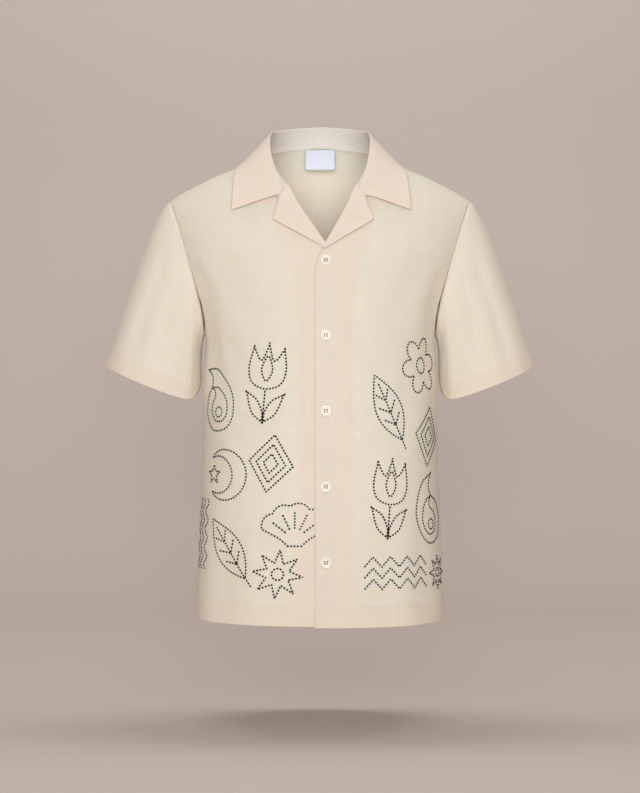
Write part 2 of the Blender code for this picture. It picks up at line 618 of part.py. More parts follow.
def button_mesh():
    """A turned resin button with a raised rim, a sunk middle and four sewing holes, front towards +Z."""
    radius, thick = BUTTON_DIAMETER / 2, BUTTON_THICKNESS
    profile = [(0.0, 0.72 * thick), (0.56 * radius, 0.72 * thick), (0.72 * radius, 0.98 * thick),
               (0.86 * radius, thick), (radius, 0.66 * thick), (radius, 0.42 * thick),
               (0.70 * radius, 0.0), (0.0, 0.0)]
    steps = BUTTON_SIDES
    points, faces = [], []
    for r, z in profile:
        count = 1 if r == 0 else steps
        points.append([(r * math.cos(2 * math.pi * k / steps), r * math.sin(2 * math.pi * k / steps), z)
                       for k in range(count)])
    offsets = np.cumsum([0] + [len(ring) for ring in points])
    for i in range(len(profile) - 1):
        for k in range(steps):
            n = (k + 1) % steps
            a, b = offsets[i], offsets[i + 1]
            ring = [a + k if len(points[i]) > 1 else a, b + k if len(points[i + 1]) > 1 else b,
                    b + n if len(points[i + 1]) > 1 else b, a + n if len(points[i]) > 1 else a]
            faces.append(tuple(dict.fromkeys(ring)))
    return [p for ring in points for p in ring], faces


def hole_cutter():
    """Four pegs through the button, in a square."""
    made = bmesh.new()
    pitch, radius = 1.15 * MM, 0.72 * MM
    for sx in (-1, 1):
        for sy in (-1, 1):
            peg = bmesh.ops.create_cone(made, cap_ends=True, segments=HOLE_SIDES, radius1=radius, radius2=radius,
                                        depth=4 * BUTTON_THICKNESS * MM)
            bmesh.ops.translate(made, verts=peg["verts"], vec=(sx * pitch, sy * pitch, 0))
    mesh = bpy.data.meshes.new("sewing_hole_pegs")
    made.to_mesh(mesh)
    made.free()
    pegs = bpy.data.objects.new("sewing_hole_pegs", mesh)
    bpy.context.scene.collection.objects.link(pegs)
    pegs.hide_render = True
    pegs.display_type = "WIRE"
    return pegs


def make_buttons():
    points, faces = button_mesh()
    for number in range(BUTTON_COUNT):
        z = TOP_BUTTON_HEIGHT - number * BUTTON_SPACING
        seat = on_body(np.array([0.0]), np.array([z]), "front", np.array([SEAM_GAP]))
        seat[..., 1] -= SEAM_GAP / 2
        seat = leaned(seat)[0]
        tip = leaned(on_body(np.array([0.0]), np.array([z]), "front", np.array([5.0])))[0]
        facing = unit(tip - seat) * np.array((0.0, 1.0, 1.0))
        button = new_object(f"button_{number + 1}", points, faces, "button_resin")
        tilt = math.atan2(facing[2], -facing[1])
        button.location = seat * MM
        button.rotation_euler = (math.pi / 2 - tilt, 0.0, 0.0)
        pegs = hole_cutter()
        pegs.location = button.location
        pegs.rotation_euler = button.rotation_euler
        pegs.name = f"sewing_hole_pegs_{number + 1}"
        cut = button.modifiers.new("sewing holes", "BOOLEAN")
        cut.operation = "DIFFERENCE"
        cut.object = pegs


def main():
    clear_scene()
    make_back()
    for which in ("left", "right"):
        make_front(which)
        make_sleeve(which)
        make_lapel(which)
    make_collar()
    make_label()
    make_buttons()


main()
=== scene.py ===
import math

import bpy
import numpy as np
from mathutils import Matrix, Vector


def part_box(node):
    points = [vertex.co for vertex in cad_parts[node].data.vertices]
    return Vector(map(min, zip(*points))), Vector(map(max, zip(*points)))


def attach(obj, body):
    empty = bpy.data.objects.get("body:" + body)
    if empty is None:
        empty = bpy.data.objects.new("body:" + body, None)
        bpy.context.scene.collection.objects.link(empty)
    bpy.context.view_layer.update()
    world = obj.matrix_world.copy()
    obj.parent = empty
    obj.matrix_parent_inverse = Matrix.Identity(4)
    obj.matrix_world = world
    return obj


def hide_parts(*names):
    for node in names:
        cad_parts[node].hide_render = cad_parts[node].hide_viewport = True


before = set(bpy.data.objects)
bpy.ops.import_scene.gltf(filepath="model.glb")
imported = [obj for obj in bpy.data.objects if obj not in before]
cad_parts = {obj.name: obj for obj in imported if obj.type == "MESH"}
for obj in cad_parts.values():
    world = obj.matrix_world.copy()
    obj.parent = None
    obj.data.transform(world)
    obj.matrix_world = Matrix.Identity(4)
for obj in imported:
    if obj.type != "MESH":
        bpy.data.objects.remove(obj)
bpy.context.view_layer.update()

# Studio: a level camera two metres in front of the shirt, a pale floor that sweeps up behind it, large
# soft lights in front, above and at both sides, and a small one inside the neck. The shirt floats, as
# it does where nobody wears it.
MM = 0.001
FLOOR_DROP, FLOOR_FRONT, FLOOR_HALF_WIDTH = 0.107, -2.6, 3.2
SWEEP_START, SWEEP_RADIUS, BACKDROP_TOP = 1.0, 0.9, 2.6


def with_inputs(node, values):
    """A shader node with its inputs set by name."""
    for name, value in values.items():
        node.inputs[name].default_value = value
    return node


def painted(name, values):
    """A material with its shader's inputs set, then its nodes, its shader and the call that links nodes."""
    paint = bpy.data.materials.new(name)
    paint.use_nodes = True
    nodes = paint.node_tree.nodes
    return paint, nodes, with_inputs(nodes["Principled BSDF"], values), paint.node_tree.links.new


camera = bpy.data.objects.new("camera", bpy.data.cameras.new("camera"))
camera.data.lens = 88.15
camera.location = (0.0, -2.0, -0.263)
camera.rotation_euler = (math.pi / 2, 0.0, 0.0)
bpy.context.scene.collection.objects.link(camera)
bpy.context.scene.camera = camera
bpy.context.scene.view_settings.view_transform = "Standard"

floor_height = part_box("front_left")[0][2] - FLOOR_DROP
sweep_turn = np.linspace(0.0, math.pi / 2, 17)
sweep = np.concatenate([
    [(FLOOR_FRONT, floor_height), (0.2, floor_height)],
    np.stack([SWEEP_START + SWEEP_RADIUS * np.sin(sweep_turn),
              floor_height + SWEEP_RADIUS - SWEEP_RADIUS * np.cos(sweep_turn)], axis=1),
    [(SWEEP_START + SWEEP_RADIUS, BACKDROP_TOP)],
])
backdrop_mesh = bpy.data.meshes.new("pale_floor")
backdrop_mesh.from_pydata(
    [(x, y, z) for y, z in sweep for x in (-FLOOR_HALF_WIDTH, FLOOR_HALF_WIDTH)], [],
    [(2 * k, 2 * k + 1, 2 * k + 3, 2 * k + 2) for k in range(len(sweep) - 1)],
)
backdrop_mesh.shade_smooth()
floor_paint = painted("pale_floor", {"Base Color": (0.66, 0.585, 0.545, 1.0), "Roughness": 0.9})[0]
backdrop_mesh.materials.append(floor_paint)
pale_floor = bpy.data.objects.new("pale_floor", backdrop_mesh)
bpy.context.scene.collection.objects.link(pale_floor)

# Columns: name, place, aim, size across and up, spread in degrees, power in watts, colour
for name, place, aim, size, spread, power, colour in (
    ("top_softbox", (0.0, -0.75, 1.25), (0.0, 0.0, -0.2), (1.4, 0.9), 180.0, 3.0, (1.0, 0.97, 0.93)),
    ("front_softbox", (-0.06, -2.3, 0.25), (0.0, 0.0, -0.25), (1.8, 0.6), 180.0, 21.0, (0.97, 1.0, 1.05)),
    ("camera_softbox", (0.0, -2.3, -0.10), (0.0, 0.0, -0.20), (0.5, 0.4), 180.0, 16.0, (0.97, 1.0, 1.05)),
    ("neck_fill", (0.0, -0.020, -0.075), (0.0, 0.085, 0.002), (0.06, 0.02), 85.0, 0.011, (1.0, 0.98, 0.95)),
    ("left_softbox", (-1.7, -0.7, 0.1), (0.0, 0.0, -0.28), (0.9, 1.6), 180.0, 2.2, (1.0, 0.72, 0.50)),
    ("right_softbox", (1.7, -0.7, 0.1), (0.0, 0.0, -0.28), (0.9, 1.6), 180.0, 2.2, (1.0, 0.72, 0.50)),
    ("backdrop_softbox", (0.0, 0.35, 1.9), (0.0, 1.6, -0.1), (2.6, 0.8), 180.0, 28.0, (1.0, 1.0, 1.0)),
):
    softbox = bpy.data.objects.new(name, bpy.data.lights.new(name, "AREA"))
    softbox.data.shape = "RECTANGLE"
    softbox.data.size, softbox.data.size_y = size
    softbox.data.spread = math.radians(spread)
    softbox.data.energy, softbox.data.color = power, colour
    softbox.location = place
    softbox.visible_camera = False
    way = np.array(aim) - np.array(place)
    softbox.rotation_euler = (math.atan2(math.hypot(way[0], way[1]), -way[2]), 0.0, math.atan2(-way[0], way[1]))
    bpy.context.scene.collection.objects.link(softbox)
world = bpy.data.worlds.new("studio")
world.use_nodes = True
with_inputs(world.node_tree.nodes["Background"], {"Color": (1.0, 0.74, 0.52, 1.0), "Strength": 0.12})
bpy.context.scene.world = world

# Back: one panel of light slubby cotton from the hem to the shoulders. It is cut to the same body form
# as the fronts, hemmed at the foot, and hangs with a few soft lengthwise folds.
CLOTH = 0.8
HEM_DEPTH, HEM_STITCHING_BELOW = 22.0, 1.4
SLACK_DEPTH = 0.055
# How far each shell stands off a seam that it shares, so that front and back don't meet in one sheet
SEAM_PARTING = 0.05
SQUARENESS = 2.35
RIDGE_DEPTH, RIDGE_DEPTH_FROM, RIDGE_DEPTH_TO = 7.0, -260.0, -60.0
# Where the form starts to close towards the shoulder, and the two powers a and b of its closing
CLOSING = {"front": (-200.0, 2.3, 2.0), "back": (-150.0, 3.2, 2.2)}
# Columns: height, half width, front depth, back depth
BODY = np.array([
    (-492.0, 127.6, 94.5, 91.0),
    (-430.0, 125.4, 96.5, 92.5),
    (-350.0, 122.2, 96.0, 91.5),
    (-280.0, 120.0, 94.0, 91.0),
    (-235.0, 119.0, 92.0, 92.5),
    (-200.0, 118.5, 90.5, 94.0),
    (-176.0, 123.6, 90.0, 94.5),
    (-158.0, 130.0, 90.0, 94.5),
    (-135.0, 139.5, 90.0, 94.5),
    (-110.0, 150.0, 90.5, 94.0),
    (-82.0, 162.0, 91.0, 94.0),
    (-62.0, 172.0, 92.0, 94.0),
    (25.0, 200.0, 92.0, 94.0),
])
# Columns: distance from the middle, height of the shoulder ridge
RIDGE = np.array([
    (-12.0, 12.8), (0.0, 14.0), (12.0, 12.8), (24.0, 9.2), (36.0, 3.2), (48.0, -5.6), (60.0, -14.5),
    (74.0, -22.6), (86.0, -28.0), (100.0, -33.4), (117.0, -40.8), (133.0, -48.8), (147.0, -56.8),
    (155.0, -62.0), (200.0, -92.0),
])
SIDE_SEAM_HEIGHTS = np.linspace(-489.6, -200.0, 200)
ARMHOLE_BACK = [(118.5, -200.0), (119.0, -190.0), (121.2, -176.0), (125.5, -158.0), (132.0, -135.0),
                (139.5, -110.0), (147.5, -83.0), (152.7, -68.0), (155.0, -62.0)]
NECK_BACK = [(0.0, 0.0), (14.0, -0.5), (27.0, -2.0), (39.0, -4.6), (49.0, -8.3), (56.0, -12.0), (60.0, -14.5)]
# Columns: distance and height of one end, of the other, half width, depth (negative is pressed in)
BACK_FOLDS = [(30.0, -90.0, 36.0, -250.0, 12.0, -1.6), (-30.0, -100.0, -26.0, -280.0, 13.0, -1.5),
              (118.0, -150.0, 84.0, -300.0, 10.0, -2.2), (-118.0, -150.0, -88.0, -285.0, 10.0, -2.1),
              (70.0, -360.0, 74.0, -500.0, 14.0, -2.0), (-58.0, -370.0, -66.0, -500.0, 14.0, -2.0),
              (6.0, -330.0, 2.0, -500.0, 13.0, -1.5), (104.0, -380.0, 108.0, -500.0, 10.0, 1.4),
              (-100.0, -390.0, -104.0, -500.0, 10.0, 1.4), (128.0, -120.0, 96.0, -196.0, 7.0, -1.0),
              (-128.0, -118.0, -92.0, -200.0, 7.0, -1.1), (52.0, -200.0, 58.0, -330.0, 9.0, 0.7)]
MIRROR = np.array((-1.0, 1.0, 1.0))
# Distances from an edge at which a panel's mesh is finer, so that the edge can roll
EDGE_STEPS = np.array([0.0, 0.3, 0.7, 1.2, 1.9, 2.8, 4.0])


def eased(value):
    """0 below 0, 1 above 1 and the smooth cubic 3v^2 - 2v^3 between."""
    value = np.clip(value, 0.0, 1.0)
    return value * value * (3.0 - 2.0 * value)


def bell(away, width):
    return np.exp(-((away / width) ** 2))


def rim(away, width):
    """1 on an edge, falling to 0 at `width` inside it, for edges that roll."""
    return np.clip(1 - away / width, 0, 1) ** 2


def ripple(along, pitch, sway, sway_pitch):
    """A sine whose pitch comes and goes."""
    return np.sin(along * 2 * math.pi / pitch + sway * np.sin(along * 2 * math.pi / sway_pitch))


def unit(vectors):
    return vectors / np.linalg.norm(vectors, axis=-1, keepdims=True)


def read_column(table, column, place):
    """A table's column at `place` along its first column: cubic Hermite steps with central slopes."""
    places, values = table[:, 0], table[:, column]
    place = np.clip(place, places[0], places[-1])
    slopes = np.gradient(values, places)
    i = np.clip(np.searchsorted(places, place) - 1, 0, len(places) - 2)
    step = places[i + 1] - places[i]
    f = (place - places[i]) / step
    return (values[i] * (1 + 2 * f) * (1 - f) ** 2 + slopes[i] * step * f * (1 - f) ** 2
            + values[i + 1] * f**2 * (3 - 2 * f) + slopes[i + 1] * step * f**2 * (f - 1))


def curve_through(rows, at):
    """Catmull-Rom curve through a table's rows: whole numbers of `at` fall on the rows."""
    rows = np.asarray(rows, float)
    padded = np.vstack([2 * rows[0] - rows[1], rows, 2 * rows[-1] - rows[-2]])
    at = np.clip(np.asarray(at, float), 0.0, len(rows) - 1.0)
    cell = np.minimum(at.astype(int), len(rows) - 2)
    f = (at - cell)[..., None]
    a, b, c, d = padded[cell], padded[cell + 1], padded[cell + 2], padded[cell + 3]
    return 0.5 * (2 * b + (c - a) * f + (2 * a - 5 * b + 4 * c - d) * f**2 + (3 * b - a - 3 * c + d) * f**3)


def half_width(z):
    return read_column(BODY, 1, z)


def ridge_height(x):
    return read_column(RIDGE, 1, np.abs(x))


def section_middle(z):
    """How far back the middle of a section lies."""
    return RIDGE_DEPTH * eased((z - RIDGE_DEPTH_FROM) / (RIDGE_DEPTH_TO - RIDGE_DEPTH_FROM))


def width_at(turn, z):
    return half_width(z) * np.sin(np.abs(turn)) ** (2 / SQUARENESS) * np.sign(turn)


def body_point(turn, z, side):
    """Superellipse sections x = w sin^(2/n), depth = d cos^(2/n), whose depth closes to the ridge by
    (1 - share^a)^(1/b), with share the height's way from where the form starts to close."""
    start, sharpness, roundness = CLOSING[side]
    x = width_at(turn, z)
    share = np.clip((z - start) / (ridge_height(x) - start), 0.0, 1.0)
    depth = read_column(BODY, 2 if side == "front" else 3, z) * (1 - share**sharpness) ** (1 / roundness)
    reach = depth * np.clip(np.cos(np.abs(turn)), 0.0, 1.0) ** (2 / SQUARENESS)
    y = section_middle(z) + (-reach if side == "front" else reach)
    return np.stack(np.broadcast_arrays(x, y, z), axis=-1)


def turn_at(x, z):
    return np.sign(x) * np.arcsin(np.clip(np.abs(x) / half_width(z), 0.0, 1.0) ** (SQUARENESS / 2))


def body_normal(x, z, side):
    """Outward normal of the body form from the cross product of its two finite differences."""
    step = 0.4
    across = body_point(turn_at(x + step, z), z, side) - body_point(turn_at(x - step, z), z, side)
    up = body_point(turn_at(x, z + step), z + step, side) - body_point(turn_at(x, z - step), z - step, side)
    return unit(np.cross(across, up) if side == "front" else np.cross(up, across))


def run_along(points):
    """Distance run along a line at each of its points."""
    return np.concatenate([[0.0], np.cumsum(np.linalg.norm(np.diff(points, axis=0), axis=1))])


def read_points(at, run, points):
    """Points of a line at `at`, where `run` rises along it."""
    return np.stack([np.interp(at, run, points[:, k]) for k in range(points.shape[1])], axis=-1)


def evenly(points, stops):
    """Points of a fine line at `stops`, which are shares of its whole length."""
    run = run_along(points)
    return read_points(stops * run[-1], run, points)


def edge_points(rows, side, stops):
    fine = curve_through(rows, np.linspace(0, len(rows) - 1, 60 * len(rows)))
    return evenly(body_point(turn_at(fine[:, 0], fine[:, 1]), fine[:, 1], side), stops)


def fine_stops(length, cell, at_start=True, at_end=True):
    """Shares of a length in even cells, finer at the ends that roll."""
    inside = np.linspace(0.0, 1.0, int(length / cell) + 1)
    low = EDGE_STEPS / length if at_start else np.array([0.0])
    high = 1 - EDGE_STEPS[::-1] / length if at_end else np.array([1.0])
    margin = 0.6 * cell / length
    return np.concatenate([low, inside[(inside > low[-1] + margin) & (inside < high[0] - margin)], high])


def panel(inner, outer, side, across):
    """Rows across the body form between two edges: turn and height run evenly, and the height
    follows the shoulder's slope more towards the top, where the last row lies on the ridge."""
    start, end = turn_at(inner[:, 0], inner[:, 2]), turn_at(outer[:, 0], outer[:, 2])
    turn = start[:, None] + (end - start)[:, None] * across
    level = inner[:, 2][:, None] + (outer[:, 2] - inner[:, 2])[:, None] * across
    base = CLOSING[side][0]
    low = (inner[:, 2] - base) / (ridge_height(inner[:, 0]) - base)
    high = (outer[:, 2] - base) / (ridge_height(outer[:, 0]) - base)
    ridge = low[:, None] + (high - low)[:, None] * across
    follow = np.linspace(0.0, 1.0, len(inner))[:, None] ** 3
    z = level
    for _ in range(12):
        z = level + (base + ridge * (ridge_height(width_at(turn, z)) - base) - level) * follow
    return body_point(turn, z, side)


def trough(x, z, fold):
    """One soft fold: a bell across its line that fades at both ends."""
    x0, z0, x1, z1, width, depth = fold
    run = np.array((x1 - x0, z1 - z0))
    share = ((x - x0) * run[0] + (z - z0) * run[1]) / (run @ run)
    away = np.hypot(x - x0 - share * run[0], z - z0 - share * run[1])
    return depth * bell(away, width) * eased((share + 0.15) / 0.4) * eased((1.1 - share) / 0.4)


def shoulder_fade(x, z):
    return eased((ridge_height(x) - z - 8.0) / 40.0)


def slack(x, z, seed):
    """The cloth's own slight unevenness: a sum of long sines at odd angles."""
    total = 0.0
    for k in range(6):
        angle, length = 0.7 + 2.1 * k + seed, 26.0 + 13.0 * k
        way = x * math.cos(angle) + 0.6 * z * math.sin(angle)
        total = total + np.sin(way * 2 * math.pi / length + 3.1 * k * seed)
    return total * SLACK_DEPTH


def lengths(grid, axis):
    """Distance run along a grid's rows (axis 1) or columns (axis 0)."""
    steps = np.linalg.norm(np.diff(grid, axis=axis), axis=-1)
    return np.concatenate([np.zeros_like(np.take(steps, [0], axis)), np.cumsum(steps, axis=axis)], axis=axis)


def grid_normals(grid, wrap=False):
    across = np.roll(grid, -1, axis=1) - np.roll(grid, 1, axis=1) if wrap else np.gradient(grid, axis=1)
    return unit(np.cross(across, np.gradient(grid, axis=0)))


def levelled(normals, to_shoulder):
    """Normals that lose their lean to the front or back at the shoulder seam, so both panels meet there."""
    upright = normals.copy()
    upright[..., 1] *= eased(to_shoulder / 3.0)
    upright[..., 2] += 0.3 * (1 - eased(to_shoulder / 3.0))
    return unit(upright)


def hem_line(grid, out, up, depth=HEM_DEPTH):
    """The points and normals along a hem's stitched furrow, from the rows on both sides of it."""
    row = np.interp(depth - HEM_STITCHING_BELOW, up[:, 0], np.arange(len(up)))
    i, f = int(row), row - int(row)
    return grid[i] * (1 - f) + grid[i + 1] * f, unit(out[i] * (1 - f) + out[i + 1] * f)


def tucked(grid, out, length=2.2, depth=1.0):
    """One more column past the last one, `length` on and `depth` down, that closes the seam from below."""
    tuck = grid[:, -1:] + unit(grid[:, -1:] - grid[:, -4:-3]) * length - out[:, -1:] * depth
    return np.concatenate([grid, tuck], axis=1), np.concatenate([out, out[:, -1:]], axis=1)


def hem_relief(above_hem, along_hem, depth=HEM_DEPTH):
    """A turned hem: a raised band, a stitched furrow at its top with small puckers, and a rolled foot."""
    band = 0.30 * eased((depth - above_hem) / 1.2)
    furrow = -0.40 * bell(above_hem - depth + HEM_STITCHING_BELOW, 0.8)
    puckers = 0.16 * ripple(along_hem, 7.3, 1.1, 41.0) * bell(above_hem - depth + 2.0, 5.0)
    foot = -0.55 * rim(above_hem, 0.9)
    wave = 0.35 * np.sin(along_hem * 2 * math.pi / 63.0 + 0.8) * np.exp(-above_hem / 18.0)
    return band + furrow + puckers + foot + wave


def seam_relief(away, along, puckers=0.25):
    """A sewn seam: the edge dips into it, a low ridge where the seam allowance lies, and slight puckers."""
    drawn_in = puckers * ripple(along, 11.0, 1.7, 37.0) * np.exp(-away / 7.0)
    return -0.8 * bell(away, 1.3) + 0.22 * bell(away - 4.5, 3.0) + drawn_in


def grid_faces(rows, columns, wrap=False):
    i, j = np.meshgrid(np.arange(rows - 1), np.arange(columns if wrap else columns - 1), indexing="ij")
    n = (j + 1) % columns
    return np.stack([i * columns + j, i * columns + n, (i + 1) * columns + n, (i + 1) * columns + j],
                    axis=-1).reshape(-1, 4)


def new_piece(name, points, faces, paint, node=None):
    """A mesh piece from points in millimetres, riding on the shirt and standing for its node."""
    mesh = bpy.data.meshes.new(name)
    mesh.from_pydata((points * MM).tolist(), [], faces.tolist() if isinstance(faces, np.ndarray) else faces)
    mesh.materials.append(paint)
    mesh.shade_smooth()
    piece = bpy.data.objects.new(name, mesh)
    bpy.context.scene.collection.objects.link(piece)
    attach(piece, "root")
    if node:
        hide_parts(node)
    return piece


def cloth_piece(name, points, faces, outward, run, layers, node, thickness=CLOTH, fullness=None):
    """A cloth piece: its outer side as given, with `run` along and up the cloth in millimetres as its UV
    map, `layers` telling where it is doubled, and a Solidify wall behind it, thinner where `fullness` is
    below 1."""
    corners = points[faces]
    facing = np.cross(corners[:, 2] - corners[:, 0], corners[:, 3] - corners[:, 1])
    if np.sum(facing * outward[faces[:, 0]]) < 0:
        faces = faces[:, ::-1]
    piece = new_piece(name, points, faces, cream_cloth, node)
    mesh = piece.data
    corner_points = np.empty(len(mesh.loops), int)
    mesh.loops.foreach_get("vertex_index", corner_points)
    mesh.uv_layers.new(name="cloth").data.foreach_set("uv", (run[corner_points] * MM).ravel())
    mesh.attributes.new("layers", "FLOAT", "POINT").data.foreach_set("value", np.asarray(layers, float).ravel())
    wall = piece.modifiers.new("cloth thickness", "SOLIDIFY")
    wall.thickness, wall.offset = thickness * MM, -1.0
    if fullness is not None:
        wall.vertex_group = piece.vertex_groups.new(name="fullness").name
        tenths = np.round(fullness.ravel() * 10).astype(int)
        for tenth in np.unique(tenths):
            piece.vertex_groups["fullness"].add(np.flatnonzero(tenths == tenth).tolist(), tenth / 10, "REPLACE")
    return piece


def cloth_grid(name, grid, out, run, layers, node, thickness=CLOTH, fullness=None, wrap=False):
    """A cloth piece given in rows and columns, closed round its columns with `wrap`."""
    return cloth_piece(name, grid.reshape(-1, 3), grid_faces(*grid.shape[:2], wrap), out.reshape(-1, 3),
                       run.reshape(-1, 2), layers, node, thickness, fullness)


def two_tones(nodes, low, high, start=0.0, end=1.0):
    """A colour ramp from one colour to another."""
    ramp = nodes.new("ShaderNodeValToRGB")
    for stop, place, colour in zip(ramp.color_ramp.elements, (start, end), (low, high)):
        stop.position, stop.color = place, (*colour, 1.0)
    return ramp


def bumped(nodes, link, shader, height, strength, distance):
    """Gives a shader's surface the fine relief of `height`."""
    bump = with_inputs(nodes.new("ShaderNodeBump"), {"Strength": strength, "Distance": distance})
    link(height, bump.inputs["Height"])
    link(bump.outputs["Normal"], shader.inputs["Normal"])


def tinted(nodes, link, shader, tone, attribute, kind, tint):
    """Gives a shader the tone's colour, blended with a tint by as much as the mesh's attribute says."""
    share = nodes.new("ShaderNodeAttribute")
    share.attribute_name = attribute
    mix = nodes.new("ShaderNodeMix")
    mix.data_type = "RGBA"
    mix.blend_type = kind
    mix.inputs["B"].default_value = tint
    link(share.outputs["Fac"], mix.inputs["Factor"])
    link(tone.outputs["Color"], mix.inputs["A"])
    link(mix.outputs["Result"], shader.inputs["Base Color"])


def woven_cloth(name):
    """Light cotton: warp and weft ridges, slubs that run along single threads, and doubled places that
    let less light through and look a little pinker."""
    paint, nodes, shader, link = painted(name, {
        "Roughness": 0.88, "Sheen Weight": 0.18, "Sheen Roughness": 0.5, "Specular IOR Level": 0.18,
        "Subsurface Weight": 0.40, "Subsurface Radius": (1.0, 0.58, 0.30), "Subsurface Scale": 0.0022,
    })
    place = nodes.new("ShaderNodeUVMap")
    place.uv_map = "cloth"

    def threads(scale_along, scale_across, detail):
        """Noise drawn out along one thread direction."""
        stretch = with_inputs(nodes.new("ShaderNodeMapping"), {"Scale": (scale_along, scale_across, 1.0)})
        noise = with_inputs(nodes.new("ShaderNodeTexNoise"), {"Scale": 1.0, "Detail": detail})
        link(place.outputs["UV"], stretch.inputs["Vector"])
        link(stretch.outputs["Vector"], noise.inputs["Vector"])
        return noise.outputs["Fac"]

    def blend(kind, a, b):
        mix = nodes.new("ShaderNodeMath")
        mix.operation = kind
        for socket, value in zip(mix.inputs, (a, b)):
            if isinstance(value, float):
                socket.default_value = value
            else:
                link(value, socket)
        return mix.outputs["Value"]

    weft, warp = threads(110.0, 1500.0, 2.0), threads(1500.0, 90.0, 2.0)
    slub_weft, slub_warp = threads(38.0, 620.0, 1.0), threads(620.0, 30.0, 1.0)
    cloud = threads(9.0, 7.0, 3.0)
    weave = blend("ADD", blend("MULTIPLY", weft, 0.5), blend("MULTIPLY", warp, 0.5))
    slubs = blend("ADD", blend("MULTIPLY", slub_weft, 0.55), blend("MULTIPLY", slub_warp, 0.45))
    surface = blend("ADD", blend("MULTIPLY", weave, 0.55), blend("MULTIPLY", slubs, 0.75))
    bumped(nodes, link, shader, surface, 0.42, 0.0005)
    tone = two_tones(nodes, (0.760, 0.690, 0.575), (0.840, 0.770, 0.660), 0.34, 0.64)
    link(blend("ADD", blend("MULTIPLY", blend("ADD", weave, slubs), 0.38), blend("MULTIPLY", cloud, 0.24)),
         tone.inputs["Fac"])
    tinted(nodes, link, shader, tone, "layers", "MULTIPLY", (1.02, 0.962, 0.962, 1.0))
    return paint


cream_cloth = woven_cloth("cream_cloth")
low_stops, high_stops = fine_stops(290.0, 2.6, at_end=False), fine_stops(150.0, 1.7, at_start=False)
neck_rows = len(high_stops) * 6 // 17
back_spine = [(0.0, -491.0), (0.0, -172.0)]
back_middle = [(0.0, -172.0), (0.0, -140.0), (0.0, -105.0), (0.0, -70.0), (0.0, -35.0), (0.0, 0.0)]
back_inner = np.vstack([
    edge_points(back_spine, "back", low_stops)[:-1],
    edge_points(back_middle, "back", np.linspace(0, 1, len(high_stops) - neck_rows))[:-1],
    edge_points(NECK_BACK, "back", np.linspace(0, 1, neck_rows + 1)),
])
side_turn = np.full(len(SIDE_SEAM_HEIGHTS), math.pi / 2)
back_outer = np.vstack([
    evenly(body_point(side_turn, SIDE_SEAM_HEIGHTS, "back"), low_stops)[:-1],
    edge_points(ARMHOLE_BACK, "back", high_stops),
])
back_points, back_outward, back_runs, back_layers, back_quads, offset = [], [], [], [], [], 0
hem_lines = {"body": [], "sleeves": []}
for sign in (1.0, -1.0):
    half = panel(back_inner, back_outer, "back", fine_stops(160.0, 2.4, at_start=False))
    half[..., 0] *= sign
    x, z = half[..., 0], half[..., 2]
    normals = grid_normals(half) * -sign
    across, up = lengths(half, 1), lengths(half, 0)
    to_side, to_shoulder = across[:, -1:] - across, up[-1:] - up
    relief = sum(trough(x, z, fold) for fold in BACK_FOLDS) * shoulder_fade(x, z) + slack(x, z, 0.9)
    relief = relief + hem_relief(up, across * sign) + seam_relief(to_side, z)
    relief = relief + seam_relief(to_shoulder, across, 0.0)
    normals = levelled(normals, to_shoulder)
    on_neck = (np.arange(len(half)) >= len(half) - neck_rows - 1)[:, None]
    relief = relief - 0.6 * bell(across, 1.3) * on_neck
    half = half + normals * relief[..., None]
    half[..., 1] += SEAM_PARTING
    half[..., 0] *= np.abs(x) > 1e-6
    normals[..., 0] *= np.abs(x) > 1e-6
    hem_lines["body"].append(hem_line(half, normals, up))
    half, normals = tucked(half, normals)
    x, across, up, to_side = (np.pad(field, ((0, 0), (0, 1)), mode="edge")
                              for field in (x, across, up, to_side))
    on_spine = np.abs(x) < 1e-6
    back_points.append(half.reshape(-1, 3))
    back_outward.append(normals.reshape(-1, 3))
    across[:, -1] += 2.4
    back_runs.append(np.stack([across * sign, up], axis=-1).reshape(-1, 2))
    back_layers.append((eased(HEM_DEPTH - up) + 0.7 * eased((9.0 - to_side) / 2.0)).clip(0, 1).ravel())
    quads = grid_faces(*x.shape) + offset
    back_quads.append(quads if sign < 0 else quads[:, ::-1])
    offset += x.size
back_quads = np.vstack(back_quads)
half_size = offset // 2
spine = np.flatnonzero(on_spine.ravel())
join = np.arange(offset)
join[half_size + spine] = spine
back_quads = join[back_quads]
used, back_quads = np.unique(back_quads, return_inverse=True)
back = cloth_piece("back_panel", np.vstack(back_points)[used], back_quads.reshape(-1, 4),
                   np.vstack(back_outward)[used], np.vstack(back_runs)[used],
                   np.concatenate(back_layers)[used], "back")

# Fronts: the wearer's left front laps over the right one down the middle. Each has its facing turned in
# behind the front edge, so the cloth is double there, then a hem, a side seam and an armhole.
EXTENSION = 10.7
OVERLAP_SINK = 1.8
SINK_FULL, SINK_NONE = 14.0, 46.0
LEAN, LEAN_START, LEAN_END = 5.8, -5.0, -130.0
UNDER_FRONT_LIFT = 1.2
